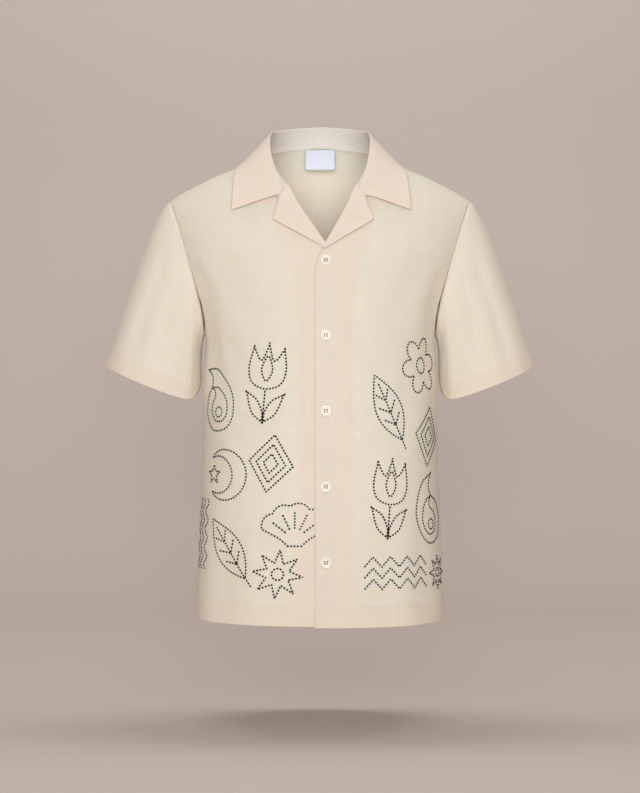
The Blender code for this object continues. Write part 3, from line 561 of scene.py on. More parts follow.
# The fronts dip this share of the back's dip into the shoulder seam, so the back's edge lies under theirs
SHOULDER_LAP = 0.3
SHOULDER_TUCK = (0.0, 1.6, -1.2)
FLIP = {"left": 1.0, "right": MIRROR}
SLACK_SEED = {"left": 0.3, "right": 1.7}
HEM_WAVE_START = {"left": 40.0, "right": 0.0}
ARMHOLE_FRONT = [(118.5, -200.0), (119.0, -190.0), (121.0, -176.0), (125.0, -158.0), (131.0, -135.0),
                 (138.5, -110.0), (147.0, -83.0), (152.5, -68.0), (155.0, -62.0)]
NECK_FRONT = [(36.5, -51.0), (43.5, -43.5), (50.0, -35.5), (55.0, -26.5), (58.6, -19.5), (60.0, -14.5)]
CENTRE_EDGE = [(-EXTENSION, -491.0), (-EXTENSION, -172.0)]
LAPEL_OPENING = [(-EXTENSION, -172.0), (-EXTENSION, -150.0), (-EXTENSION, -136.0), (-6.0, -121.0),
                 (1.6, -111.0), (10.5, -97.5), (19.6, -83.0), (29.0, -67.0), (36.5, -51.0)]
# Columns: height, distance of the facing's inner edge from the middle
FACING_EDGE = np.array([(-492.0, 27.5), (-300.0, 27.5), (-170.0, 28.0), (-158.0, 29.8), (-135.0, 33.5),
                        (-110.0, 41.0), (-85.0, 52.0), (-50.0, 66.0), (-10.0, 80.0)])
FRONT_FOLDS = {
    "left": [(121.0, -150.0, 99.0, -262.0, 8.0, -2.2), (104.0, -120.0, 62.0, -205.0, 12.0, -1.5),
             (108.0, -235.0, 88.0, -330.0, 10.0, 1.3), (58.0, -395.0, 62.0, -500.0, 13.0, -1.6),
             (99.0, -370.0, 103.0, -500.0, 12.0, -1.8), (32.0, -150.0, 27.0, -330.0, 7.0, -0.9),
             (129.0, -128.0, 104.0, -182.0, 6.0, -0.9), (92.0, -205.0, 84.0, -238.0, 7.0, -1.1),
             (74.0, -60.0, 66.0, -120.0, 9.0, -0.7)],
    "right": [(121.0, -148.0, 101.0, -270.0, 8.0, -2.3), (106.0, -116.0, 66.0, -196.0, 12.0, -1.6),
              (110.0, -240.0, 84.0, -345.0, 10.0, 1.2), (50.0, -405.0, 46.0, -500.0, 14.0, -1.5),
              (92.0, -380.0, 98.0, -500.0, 12.0, -1.9), (36.0, -160.0, 31.0, -300.0, 7.0, -0.9),
              (130.0, -124.0, 102.0, -176.0, 6.0, -1.0), (95.0, -203.0, 82.0, -236.0, 7.0, -1.2),
              (78.0, -58.0, 70.0, -116.0, 9.0, -0.7)],
}


def leaned(points):
    """A sideways shift of the fronts to the wearer's left, which fades to the sides and the neck."""
    x, y, z = points[..., 0], points[..., 1], points[..., 2]
    amount = LEAN * eased((LEAN_START - z) / (LEAN_START - LEAN_END))
    amount = amount * np.clip(1 - (np.abs(x) / 118.0) ** 2, 0, 1) * eased(-y / 50.0)
    moved = points.copy()
    moved[..., 0] += amount
    return moved


def sink_at(x, which):
    """The step down of the under front below the overlap."""
    return OVERLAP_SINK * eased((SINK_NONE - x) / (SINK_NONE - SINK_FULL)) if which == "right" else 0.0


def front_relief(x, z, which):
    """Soft folds, slack and, on the under front, the step down below the overlap."""
    folds = sum(trough(x, z, fold) for fold in FRONT_FOLDS[which]) * eased((x - 12.0) / 14.0)
    relief = folds * shoulder_fade(x, z) + slack(x, z, SLACK_SEED[which]) * eased((x + 14.0) / 20.0)
    return relief - sink_at(x, which)


side_seam_front = evenly(body_point(side_turn, SIDE_SEAM_HEIGHTS, "front"), low_stops)
for which in FLIP:
    inner = np.vstack([edge_points(CENTRE_EDGE, "front", low_stops)[:-1],
                       edge_points(LAPEL_OPENING + NECK_FRONT[1:], "front", high_stops)])
    outer = np.vstack([side_seam_front[:-1], edge_points(ARMHOLE_FRONT, "front", high_stops)])
    grid = panel(inner, outer, "front", fine_stops(165.0, 2.2))
    x, z = grid[..., 0], grid[..., 2]
    normals = grid_normals(grid)
    across, up = lengths(grid, 1), lengths(grid, 0)
    to_side, to_shoulder = across[:, -1:] - across, up[-1:] - up
    inside_facing = read_column(FACING_EDGE, 1, z) - x
    relief = front_relief(x, z, which) + hem_relief(up, across + HEM_WAVE_START[which])
    relief = relief + seam_relief(to_side, z, 0.3) + SHOULDER_LAP * seam_relief(to_shoulder, across, 0.0)
    relief = relief + 0.14 * eased(inside_facing / 1.5) - 0.6 * rim(across, 1.0)
    if which == "right":
        grid[..., 2] += UNDER_FRONT_LIFT * eased((-430.0 - z) / 60.0)
    grid = grid + levelled(normals, to_shoulder) * relief[..., None]
    grid[..., 1] -= SEAM_PARTING
    out = grid_normals(grid)
    hem_points, hem_out = hem_line(grid, out, up)
    hem_lines["body"].append((leaned(hem_points * FLIP[which]), hem_out * FLIP[which]))
    grid, out = tucked(grid, out)
    grid, out = np.concatenate([grid, grid[-1:] + SHOULDER_TUCK]), np.concatenate([out, out[-1:]])
    run = np.stack([lengths(grid, 1), lengths(grid, 0)], axis=-1)
    layers = np.maximum(eased(inside_facing / 1.6 + 0.5), eased(HEM_DEPTH - up))
    layers = np.maximum(layers, 0.7 * eased((9.0 - to_side) / 2.0))
    layers = np.pad(layers, ((0, 1), (0, 1)), mode="edge")
    front = cloth_grid(f"front_{which}_panel", leaned(grid * FLIP[which]), out * FLIP[which], run, layers,
                       f"front_{which}")

# Sleeves: short set-in sleeves, each a tube from the armhole to a turned hem that hangs level with the
# chest. A few soft folds fall from the sleeve head, and the underarm is drawn up to the body.
SLEEVE_HEM_CENTRE = np.array((171.5, 3.0, -250.0))
SLEEVE_HEM_SLOPE = math.radians(20.9)
SLEEVE_HEM_HALF_WIDTH, SLEEVE_HEM_HALF_DEPTH = 52.3, 46.0
SLEEVE_UNDER_LIFT, SLEEVE_UNDER_SHARPNESS = 21.0, 11
SLEEVE_FRONT_DIP = 4.0
SLEEVE_TOP_WAY, SLEEVE_UNDER_WAY = np.array((0.80, 0.0, -0.60)), np.array((0.42, 0.0, -0.91))
SLEEVE_TOP_END, SLEEVE_UNDER_END = np.array((0.31, 0.0, -0.95)), np.array((0.03, 0.0, -1.0))
SLEEVE_SIDE_SPREAD = 0.12
# Handles of each strip's curve, as shares of its length: at the top, under the arm and at the hem
TOP_HANDLE, UNDER_HANDLE, HEM_HANDLE = 0.115, 0.22, 0.46
SLEEVE_HEM_DEPTH = 19.0
SLEEVE_GIRTH, SLEEVE_SLACK_GIRTH = 310.0, 300.0
EASE_RIPPLES = 26
# Columns: share of the way round from the top by the front, width as such a share, depth,
# share of the sleeve's length where it starts and where it ends
SLEEVE_FOLDS = [
    (0.17, 0.030, -2.2, 0.18, 1.05), (0.30, 0.032, -2.4, 0.05, 0.85), (0.385, 0.026, 1.6, 0.15, 1.10),
    (0.66, 0.034, -2.2, 0.05, 0.95), (0.80, 0.036, -2.2, 0.20, 1.10), (0.95, 0.030, 1.0, 0.40, 1.10),
    (0.235, 0.018, 0.8, 0.12, 0.60), (0.45, 0.020, -1.2, 0.00, 0.60), (0.73, 0.020, 0.8, 0.20, 0.80),
]
SLEEVE_AROUND = 168

armhole_front = edge_points(ARMHOLE_FRONT, "front", np.linspace(0, 1, SLEEVE_AROUND // 2 + 1))[::-1]
armhole_back = edge_points(ARMHOLE_BACK, "back", np.linspace(0, 1, SLEEVE_AROUND // 2 + 1))
armhole = np.vstack([armhole_front[:-1], armhole_back[:-1]])


def sleeve_surface(along):
    """Each strip round the sleeve is a cubic Bezier curve from the armhole to the hem ring."""
    angle = 2 * math.pi * np.arange(SLEEVE_AROUND) / SLEEVE_AROUND
    slope = np.array((math.cos(SLEEVE_HEM_SLOPE), 0.0, math.sin(SLEEVE_HEM_SLOPE)))
    under = np.clip(-np.cos(angle), 0, 1) ** SLEEVE_UNDER_SHARPNESS
    end = (SLEEVE_HEM_CENTRE + SLEEVE_HEM_HALF_WIDTH * np.cos(angle)[:, None] * slope
           + SLEEVE_HEM_HALF_DEPTH * np.sin(angle)[:, None] * np.array((0.0, -1.0, 0.0)))
    end[:, 2] += SLEEVE_UNDER_LIFT * under - SLEEVE_FRONT_DIP * np.clip(np.sin(angle), 0, 1)
    top = (1 + np.cos(angle))[:, None] / 2
    leave = top * SLEEVE_TOP_WAY + (1 - top) * SLEEVE_UNDER_WAY
    leave[:, 1] -= SLEEVE_SIDE_SPREAD * np.sin(angle)
    leave = unit(leave)
    arrive = unit(top * SLEEVE_TOP_END + (1 - top) * SLEEVE_UNDER_END)
    start = armhole + leave * 0.25
    length = np.linalg.norm(end - start, axis=1, keepdims=True)
    first = start + leave * length * (TOP_HANDLE * top + UNDER_HANDLE * (1 - top))
    second = end - arrive * length * HEM_HANDLE
    v = along[:, None, None]
    strips = (1 - v) ** 3 * start + 3 * v * (1 - v) ** 2 * first + 3 * v**2 * (1 - v) * second + v**3 * end
    return strips, leave


sleeve_along = 1.0 - fine_stops(150.0, 1.9)[::-1]
sleeve_grid, sleeve_leave = sleeve_surface(sleeve_along)
around = (np.arange(SLEEVE_AROUND) / SLEEVE_AROUND)[None, :]
sleeve_normals = grid_normals(sleeve_grid, wrap=True)
from_armhole = lengths(sleeve_grid, 0)
to_hem = from_armhole[-1:] - from_armhole
hem_run = np.cumsum(np.linalg.norm(np.roll(sleeve_grid[-1], -1, axis=0) - sleeve_grid[-1], axis=1))[None, :]
sleeve_relief = slack(around * SLEEVE_SLACK_GIRTH, from_armhole, 2.6) * eased(from_armhole / 12.0)
for place, width, depth, begin, finish in SLEEVE_FOLDS:
    away = (around - place + 0.5) % 1.0 - 0.5
    fade = eased((sleeve_along[:, None] - begin) / 0.25) * eased((finish - sleeve_along[:, None]) / 0.25)
    sleeve_relief = sleeve_relief + depth * bell(away, width) * fade
ease = ripple(around, 1 / EASE_RIPPLES, 1.5, 1 / 3) * np.exp(-from_armhole / 9.0) * eased(from_armhole / 2.0)
sleeve_relief = sleeve_relief + 0.28 * ease - 0.7 * bell(from_armhole, 1.2)
sleeve_relief = sleeve_relief + hem_relief(to_hem, hem_run, SLEEVE_HEM_DEPTH)
sleeve_grid = sleeve_grid + sleeve_normals * sleeve_relief[..., None]
sleeve_out = grid_normals(sleeve_grid, wrap=True)
sleeve_hem = hem_line(sleeve_grid[::-1], sleeve_out[::-1], to_hem[::-1], SLEEVE_HEM_DEPTH)
sleeve_hem = [np.vstack([row, row[:1]]) for row in sleeve_hem]
hem_lines["sleeves"] = [[row * flip for row in sleeve_hem] for flip in FLIP.values()]
sleeve_tuck = (armhole - sleeve_leave * 2.0)[None] - sleeve_out[:1] * 1.4
sleeve_grid = np.concatenate([sleeve_tuck, sleeve_grid])
sleeve_out = np.concatenate([sleeve_out[:1], sleeve_out])
sleeve_layers = np.pad(eased(SLEEVE_HEM_DEPTH - to_hem), ((1, 0), (0, 0)), mode="edge")
sleeve_run = np.stack(np.broadcast_arrays(around * SLEEVE_GIRTH, lengths(sleeve_grid, 0)), axis=-1)
for which, flip in FLIP.items():
    sleeve = cloth_grid(f"sleeve_{which}_tube", sleeve_grid * flip, sleeve_out * flip, sleeve_run,
                        sleeve_layers, f"sleeve_{which}", wrap=True)

# Collar: a one-piece camp collar. It stands up from the neck seam, rolls over and lies on the shoulders,
# made of two layers with the seam allowance felt as a low welt inside its edges.
LAYER_GAP = 0.45
COLLAR_CLOTH = 1.3
# Columns: roll line x, y, z, free edge x, y, z, reach of the fold
COLLAR = np.array([
    (0.0, 60.5, 22.5, 0.0, 85.5, -19.5, 17.0),
    (24.0, 51.5, 20.0, 34.0, 77.5, -21.0, 17.0),
    (42.5, 34.5, 15.5, 63.0, 56.5, -21.5, 12.0),
    (50.4, 7.0, 8.8, 81.5, 9.0, -24.6, 6.0),
    (50.6, -21.0, -10.0, 87.3, -27.5, -35.0, 6.0),
    (45.2, -44.0, -32.5, 89.2, -46.0, -56.5, 7.0),
    (35.6, -60.6, -50.0, 90.8, -56.0, -76.0, 6.0),
])
COLLAR_CLEARANCE = 0.35
NOTCH = np.array((43.4, -65.6, -62.0))
# Share of the fall, from the roll line to the free edge, at which the lapel meets the collar's end
NOTCH_SHARE = 0.2857


def above_body(points):
    """Height of points off the body form and the way straight out, from the form's level function."""
    def level(p):
        x, y, z = p[..., 0], p[..., 1], p[..., 2]
        middle, values = section_middle(z), []
        for side, column in (("front", 2), ("back", 3)):
            start, sharpness, roundness = CLOSING[side]
            narrowing = np.clip(1 - (np.abs(x) / half_width(z)) ** SQUARENESS, 1e-3, 1) ** (1 / SQUARENESS)
            share = np.clip((z - start) / (ridge_height(x) - start), 0.0, None)
            reach = np.abs(y - middle) / (read_column(BODY, column, z) * narrowing)
            values.append(reach**roundness + share**sharpness - 1)
        return np.where(y < middle, *values)
    step = 0.2
    slope = np.stack([level(points + step * axis) - level(points - step * axis) for axis in np.eye(3)], axis=-1)
    slope = slope / (2 * step)
    steepness = np.linalg.norm(slope, axis=-1)
    return level(points) / steepness, slope / steepness[..., None]


def kept_off_body(points, clearance):
    """Points closer to the body form than `clearance` are moved straight out until they stand that far off."""
    for _ in range(4):
        height, out = above_body(points)
        points = points + out * np.maximum(clearance - height, 0.0)[..., None]
    return points


def folded_strip(seam, roll, edge, over, reach, stand_steps, fall_steps):
    """Two cubic Hermite arcs, from the seam to the roll line and from there to the free edge. The first
    arrives at the roll with no more swing than its own length, so that a low stand doesn't loop."""
    def arc(a, b, leave, arrive, f):
        return (a * (1 + 2 * f) * (1 - f) ** 2 + leave * f * (1 - f) ** 2
                + b * f**2 * (3 - 2 * f) + arrive * f**2 * (f - 1))
    push = over * reach
    height = np.linalg.norm(roll - seam, axis=-1, keepdims=True)
    swing = over * np.minimum(reach, 1.2 * height)
    stand = [arc(seam, roll, roll - seam, swing, f) for f in np.linspace(0, 1, stand_steps + 1)]
    fall = [arc(roll, edge, push, edge - roll, f) for f in fall_steps[1:] ** 1.35]
    return np.array(stand + fall)


def welted(away, rise=0.24, inset=4.5):
    """A low welt inside a free edge and a rounded rim on it, from the distance to that edge."""
    return rise * eased((inset - away) / 0.9) - 0.75 * rim(away, 0.9)


# Places along the table's rows from the middle of the back, closer together at the collar's end
neck_at = np.concatenate([np.linspace(0.0, 5.9, 78), [5.94, 5.965, 5.985, 6.0]])
neck_line = np.vstack([
    edge_points(NECK_BACK, "back", np.linspace(0, 1, 181))[:-1],
    edge_points(NECK_FRONT, "front", np.linspace(0, 1, 181))[::-1],
])
seam = read_points(neck_at * 60.0, np.arange(361), neck_line)
mirrored_row = COLLAR[1] * np.array((-1.0, 1.0, 1.0, -1.0, 1.0, 1.0, 1.0))
table = curve_through(np.vstack([mirrored_row, COLLAR]), neck_at + 1)
roll, edge, reach = table[:, :3], table[:, 3:6], table[:, 6:7]
rise = unit(roll - seam)
roll_way = np.gradient(roll, axis=0)
roll_way[0] = (1.0, 0.0, 0.0)
seam = seam + rise * 0.3
STAND_STEPS, FALL_STEPS = 30, fine_stops(42.0, 1.1, at_start=False)
half = folded_strip(seam, roll, edge, unit(np.cross(rise, roll_way)), reach, STAND_STEPS, FALL_STEPS)
# The end of the fall is drawn to the notch, most at the notch's own row and less towards both edges
fall_share = FALL_STEPS[1:]
tent = np.where(fall_share < NOTCH_SHARE, fall_share / NOTCH_SHARE, (1 - fall_share) / (1 - NOTCH_SHARE))
shift = NOTCH - half[STAND_STEPS + int(np.argmin(np.abs(fall_share - NOTCH_SHARE))) + 1, -1]
towards_end = np.clip((neck_at - 4.6) / 1.4, 0, 1) ** 2
half[STAND_STEPS + 1:] += tent[:, None, None] * towards_end[None, :, None] * shift
past_roll = lengths(half, 0) - lengths(half, 0)[STAND_STEPS]
half = kept_off_body(half, COLLAR_CLEARANCE + (LAYER_GAP + COLLAR_CLOTH + 0.2) * eased(past_roll / 7.0))
for _ in range(6):
    half[:, 1:-1] = (half[:, :-2] + 2 * half[:, 1:-1] + half[:, 2:]) / 4
grid = np.concatenate([(half * MIRROR)[:, :0:-1], half], axis=1)
out = grid_normals(grid)
down, along = lengths(grid, 0), lengths(grid, 1)
to_ends = np.minimum(along, along[:, -1:] - along)
on_fall = eased((np.arange(len(grid)) - STAND_STEPS - 4) / 6.0)[:, None]
relief = welted(np.minimum(down[-1:] - down, np.where(on_fall > 0, to_ends, 99.0)))
relief = relief + 0.25 * slack(along, down * 2.0, 4.2)
tape_lines = bell(down - 3.4, 0.6) + bell(down - 8.2, 0.5)
stand_line = -0.4 * tape_lines * (1 - on_fall) * eased((30.0 - np.abs(grid[..., 0])) / 10.0 + 1.5)
grid = grid + out * (relief + stand_line)[..., None]
collar_tuck = grid[:1] - above_body(grid[:1])[1] * 1.8
grid, out = np.concatenate([collar_tuck, grid]), np.concatenate([out[:1], out])
run = np.stack([lengths(grid, 1), lengths(grid, 0)], axis=-1)
fullness = 0.2 + 0.8 * eased((np.arange(len(grid)) - STAND_STEPS - 5) / 8.0)[:, None] * np.ones(grid.shape[:2])
collar = cloth_grid("camp_collar", leaned(grid), out, run, np.ones(grid.shape[:2]), "collar",
                    COLLAR_CLOTH, fullness)

# Lapels: the facings turned back above the top button. Each is a small leaf that rolls out of the front
# edge, lies on the chest and meets the collar at the notch.
LAPEL_CLOTH = 1.1
LAPEL_FOLD_REACH = 6.0
LAPEL_TIP = 0.74
# Columns: share of the way up, roll line distance and height, free edge distance and height, lift
LAPEL = np.array([
    (-0.06, -1.8, -116.0, -1.0, -116.8, 1.0),
    (0.00, 0.9, -112.5, 6.5, -113.0, 2.4),
    (0.25, 9.3, -98.8, 19.0, -105.5, 3.6),
    (0.50, 18.0, -84.8, 35.0, -96.5, 3.8),
    (0.74, 26.4, -70.6, 49.6, -88.0, 3.8),
    (0.97, 33.8, -54.4, 43.2, -67.0, 3.8),
    (1.00, 35.2, -52.8, 42.8, -64.2, 2.9),
    (1.05, 37.8, -50.6, 44.8, -60.4, 1.4),
])


def on_front(x, z, lift):
    """A point seen at (x, z) on the front's body form, raised along its normal."""
    return body_point(turn_at(x, z), z, "front") + body_normal(x, z, "front") * np.asarray(lift)[..., None]


around_tip = LAPEL_TIP + np.linspace(-0.02, 0.02, 5)
share = np.unique(np.concatenate([np.linspace(LAPEL[0, 0], LAPEL[-1, 0], 76), around_tip]))
roll_x, roll_z, edge_x, edge_z, lift = read_points(share, LAPEL[:, 0], LAPEL[:, 1:]).T
edge_x = edge_x - 0.7 * bell(share - LAPEL_TIP, 0.02)
opening = np.array(LAPEL_OPENING[2:] + NECK_FRONT[1:2])
seam_x = np.interp(roll_z, opening[:, 1], opening[:, 0])
for which, flip in FLIP.items():
    seam = on_front(seam_x - 0.6, roll_z, -sink_at(seam_x, which) - 0.1)
    roll = on_front(roll_x - 0.8, roll_z, 1.3 - sink_at(roll_x, which))
    edge = on_front(edge_x, edge_z, lift - sink_at(edge_x, which))
    over = unit(np.cross(unit(np.gradient(roll, axis=0)), unit(roll - seam)))
    grid = folded_strip(seam, roll, edge, over, LAPEL_FOLD_REACH, 6, fine_stops(22.0, 0.8, at_start=False))
    grid[..., 1] -= SEAM_PARTING
    out = grid_normals(grid)
    down, along = lengths(grid, 0), lengths(grid, 1)
    relief = welted(down[-1:] - down) + 0.3 * slack(along, down, 5.0)
    grid = grid + out * relief[..., None]
    lapel = cloth_grid(f"lapel_{which}_leaf", leaned(grid * flip), out * flip, np.stack([along, down], axis=-1),
                       np.ones(grid.shape[:2]), f"lapel_{which}", LAPEL_CLOTH)

# Neck label: a bare folded tape of white satin weave, caught in the seam at the back of the neck and
# hanging free inside it.
LABEL_WIDTH, LABEL_DROP = 31.0, 20.5
LABEL_LEAN, LABEL_WAVE = 4.0, 0.5
label_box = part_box("neck_label")
satin_tape, nodes, shader, link = painted("satin_tape", {
    "Base Color": (0.62, 0.65, 0.75, 1.0), "Roughness": 0.55,
})
rib = with_inputs(nodes.new("ShaderNodeTexWave"), {"Scale": 900.0, "Distortion": 0.6})
rib.bands_direction = "Z"
link(nodes.new("ShaderNodeTexCoord").outputs["Object"], rib.inputs["Vector"])
bumped(nodes, link, shader, rib.outputs["Fac"], 0.25, 0.0002)
label_x = np.linspace(-LABEL_WIDTH / 2, LABEL_WIDTH / 2, 33)[None, :]
label_down = np.concatenate([[0.0, 0.5], np.linspace(1.2, LABEL_DROP - 1.2, 18),
                             [LABEL_DROP - 0.5, LABEL_DROP]])[:, None]
label_front, label_top = label_box[0][1] / MM + 0.2, label_box[1][2] / MM
label_y = label_front + (LABEL_LEAN + LABEL_WAVE * np.sin(label_x / 9.0)) * label_down / LABEL_DROP
label_y = label_y + 0.4 * rim(LABEL_DROP - label_down, 1.2)
label_grid = np.stack(np.broadcast_arrays(label_x, label_y, label_top - label_down), axis=-1)
label = new_piece("bare_neck_label", label_grid.reshape(-1, 3), grid_faces(*label_grid.shape[:2]), satin_tape,
                  "neck_label")
label_wall = label.modifiers.new("folded tape", "SOLIDIFY")
label_wall.thickness, label_wall.offset = 0.6 * MM, 1.0

# Buttons: five turned resin buttons with a rounded rim, a dished middle and four holes, sewn to the under
# front through a pair of parallel bars of tan thread.
BUTTON_DIAMETER, BUTTON_THICKNESS = 11.2, 2.4
TOP_BUTTON_HEIGHT, BUTTON_SPACING, BUTTON_COUNT = -128.0, 74.5, 5
HOLE_PITCH, HOLE_RADIUS, HOLE_DEPTH = 1.15, 0.72, 1.35
PROFILE_STEPS, TOP_SIDE_STEPS, BUTTON_AROUND = 72, 45, 112
BAR_LIFT, BAR_APART, BAR_WIDTH, BAR_HEIGHT = 0.9, 0.22, 0.5, 0.45
BUTTON_SEAT = 0.45
# Columns: distance from the button's middle as a share of its radius, height as a share of its thickness
BUTTON_PROFILE = np.array([(0.0, 0.66), (0.30, 0.66), (0.50, 0.68), (0.60, 0.74), (0.70, 0.95), (0.80, 1.0),
                           (0.90, 0.95), (0.97, 0.80), (1.0, 0.58), (0.99, 0.34), (0.90, 0.12), (0.70, 0.02),
                           (0.0, 0.0)])


def resin(name):
    """Cream resin with faint milky clouds and a soft shine, with dark brown painted into the holes, where
    the attribute "hole" is 1: painted shade in their depth, together with the thread seen through them."""
    paint, nodes, shader, link = painted(name, {
        "Roughness": 0.28, "Subsurface Weight": 0.25, "Subsurface Radius": (1.0, 0.7, 0.5),
        "Subsurface Scale": 0.002,
    })
    cloud = with_inputs(nodes.new("ShaderNodeTexNoise"), {"Scale": 420.0, "Detail": 3.0})
    tone = two_tones(nodes, (0.88, 0.79, 0.68), (0.96, 0.90, 0.81))
    link(nodes.new("ShaderNodeTexCoord").outputs["Object"], cloud.inputs["Vector"])
    link(cloud.outputs["Fac"], tone.inputs["Fac"])
    # Painted shade: the holes are made dark brown, for the shade in them and the thread seen through them
    tinted(nodes, link, shader, tone, "hole", "MIX", (0.12, 0.065, 0.05, 1.0))
    return paint


def spun_thread(name, colour, sheen):
    """Stranded cotton: the colour with a fine twist in its tone and in its surface."""
    paint, nodes, shader, link = painted(name, {
        "Roughness": 0.75, "Specular IOR Level": 0.2, "Sheen Weight": sheen,
    })
    twist = with_inputs(nodes.new("ShaderNodeTexNoise"), {"Scale": 2600.0, "Detail": 2.0})
    tone = two_tones(nodes, [0.65 * c for c in colour], [min(1.0, 1.45 * c) for c in colour])
    link(nodes.new("ShaderNodeTexCoord").outputs["Object"], twist.inputs["Vector"])
    link(twist.outputs["Fac"], tone.inputs["Fac"])
    link(tone.outputs["Color"], shader.inputs["Base Color"])
    bumped(nodes, link, shader, twist.outputs["Fac"], 0.5, 0.0002)
    return paint


def stitched_piece(name, paint, paths, out, width, height, sides=6):
    """Tubes along short paths (stitch, station, xyz): an ellipse across each station that thins to both
    ends, where the stitch dives into the cloth."""
    count, stations = paths.shape[:2]
    t = np.linspace(0.0, 1.0, stations)[None, :, None]
    swell = np.clip(np.sin(math.pi * (0.08 + 0.84 * t)), 0, 1) ** 0.45
    along = unit(np.gradient(paths, axis=1))
    side = unit(np.cross(along, out))
    lift = unit(np.cross(side, along))
    centre = paths + lift * height * (0.55 * np.sin(math.pi * t) ** 0.5 - 0.25)
    angle = 2 * math.pi * np.arange(sides) / sides
    ring = (centre[:, :, None] + side[:, :, None] * (np.cos(angle)[:, None] * width / 2) * swell[:, :, None]
            + lift[:, :, None] * (np.sin(angle)[:, None] * height / 2) * swell[:, :, None])
    base = np.arange(count)[:, None, None] * stations * sides
    tubes = (base + grid_faces(stations, sides, wrap=True)).reshape(-1, 4).tolist()
    first, last = np.arange(sides)[::-1], (stations - 1) * sides + np.arange(sides)
    caps = np.concatenate([base[:, 0] + first, base[:, 0] + last]).tolist()
    return new_piece(name, ring.reshape(-1, 3), tubes + caps, paint)


button_resin = resin("button_resin")
cream_thread = spun_thread("cream_thread", (0.80, 0.69, 0.55), 0.2)
tan_thread = spun_thread("tan_thread", (0.46, 0.31, 0.22), 0.1)
profile = curve_through(BUTTON_PROFILE, np.linspace(0, len(BUTTON_PROFILE) - 1, PROFILE_STEPS))
radius = np.clip(profile[:, 0], 0.0, 1.0) * BUTTON_DIAMETER / 2
spin = 2 * math.pi * np.arange(BUTTON_AROUND) / BUTTON_AROUND
face_x, face_y = radius[:, None] * np.cos(spin), radius[:, None] * np.sin(spin)
face_z = np.broadcast_to(profile[:, 1:] * BUTTON_THICKNESS, face_x.shape).copy()
top_side = (np.arange(PROFILE_STEPS) < TOP_SIDE_STEPS)[:, None]
in_hole = np.zeros_like(face_z)
for hole_x in (-HOLE_PITCH, HOLE_PITCH):
    for hole_y in (-HOLE_PITCH, HOLE_PITCH):
        inside = np.hypot(face_x - hole_x, face_y - hole_y) / HOLE_RADIUS
        in_hole += top_side * eased((1.12 - inside) / 0.3)
face_z -= HOLE_DEPTH * in_hole
button_face = np.stack([face_x, face_y, face_z], axis=-1)
button_heights = TOP_BUTTON_HEIGHT - np.arange(BUTTON_COUNT) * BUTTON_SPACING
bar_way = np.linspace(0.0, 1.0, 9)
bars = np.array([[(side * HOLE_PITCH + beside, (2 * t - 1) * HOLE_PITCH,
                   BUTTON_THICKNESS / 2 + BAR_LIFT * math.sin(math.pi * t) ** 0.5) for t in bar_way]
                 for beside in (BAR_APART, -BAR_APART) for side in (-1.0, 1.0)])
for number, z in enumerate(button_heights, 1):
    here = np.array([0.0]), np.array([z])
    seat = leaned(on_front(*here, BUTTON_SEAT))[0]
    facing = unit(body_normal(*here, "front")[0] * (0.0, 1.0, 1.0))
    basis = np.stack([np.array((1.0, 0.0, 0.0)), np.cross(facing, (1.0, 0.0, 0.0)), facing])
    button = new_piece(f"turned_button_{number}", (button_face @ basis + seat).reshape(-1, 3),
                       grid_faces(*button_face.shape[:2], wrap=True)[:, ::-1], button_resin,
                       f"button_{number}")
    # Where the holes are, for the dark brown painted shade in them
    shaded = button.data.attributes.new("hole", "FLOAT", "POINT")
    shaded.data.foreach_set("value", in_hole.ravel())
    stitched_piece(f"button_thread_{number}", tan_thread, bars @ basis + seat,
                   np.broadcast_to(facing, bars.shape), BAR_WIDTH, BAR_HEIGHT, 8)

# Hem stitching and buttonholes: one even row of cream thread round the foot of the shirt and round each
# sleeve, and a plain worked buttonhole up the edge of the upper front under each button.
STITCH_LENGTH, STITCH_GAP = 2.5, 0.9
BUTTONHOLE_LENGTH, BUTTONHOLE_STITCHES, BUTTONHOLE_COLUMNS = 12.6, 26, (-1.05, 1.05)
# Width, height and number of sides of a stitch
HEM_THREAD, BUTTONHOLE_THREAD = (0.42, 0.34, 5), (0.42, 0.36, 5)


def stitch_stops(length, stitch, gap, stations=6):
    """Places along a length of even stitches with gaps between them: rows of stations, one row a stitch."""
    count = max(1, int(round(length / (stitch + gap))))
    pitch = length / count
    return pitch * np.arange(count)[:, None] + gap / 2 + (pitch - gap) * np.linspace(0, 1, stations)[None, :]


for name, lines in hem_lines.items():
    paths, outs = [], []
    for line, line_out in lines:
        run = run_along(line)
        at = stitch_stops(run[-1], STITCH_LENGTH, STITCH_GAP)
        paths.append(read_points(at, run, line))
        outs.append(read_points(at, run, line_out))
    outs = unit(np.concatenate(outs))
    paths = np.concatenate(paths) + outs * 0.1
    stitched_piece(f"hem_stitching_{name}", cream_thread, paths, outs, *HEM_THREAD)

# Two columns of short stitches a buttonhole, laid across the slit from one end to the other
across_slit = np.array(BUTTONHOLE_COLUMNS)[:, None, None] + np.linspace(-0.75, 0.75, 4)
up_slit = np.linspace(-0.5, 0.5, BUTTONHOLE_STITCHES)[:, None] * BUTTONHOLE_LENGTH
x, z = np.broadcast_arrays(across_slit, button_heights[:, None, None, None] + up_slit)
x, z = x.reshape(-1, 4), z.reshape(-1, 4)
stitched_piece("buttonholes", cream_thread, leaned(on_front(x, z, front_relief(x, z, "left") + 0.12)),
               body_normal(x, z, "front"), *BUTTONHOLE_THREAD)

# Embroidery: outlines in thick running stitch, dark brown and dark green thread, worked by hand over the
# lower part of both fronts and kept off the facing. The motifs are common ones in a layout of their own.
RUNNING_STITCH, RUNNING_GAP = 2.2, 1.0
RUNNING_WIDTH, RUNNING_HEIGHT = 1.9, 1.0
MIDDLE_OF_MOTIFS = -350.0
section_turn = np.linspace(0.0, math.pi / 2, 400)
section_run = run_along(body_point(section_turn, np.full(400, MIDDLE_OF_MOTIFS), "front"))


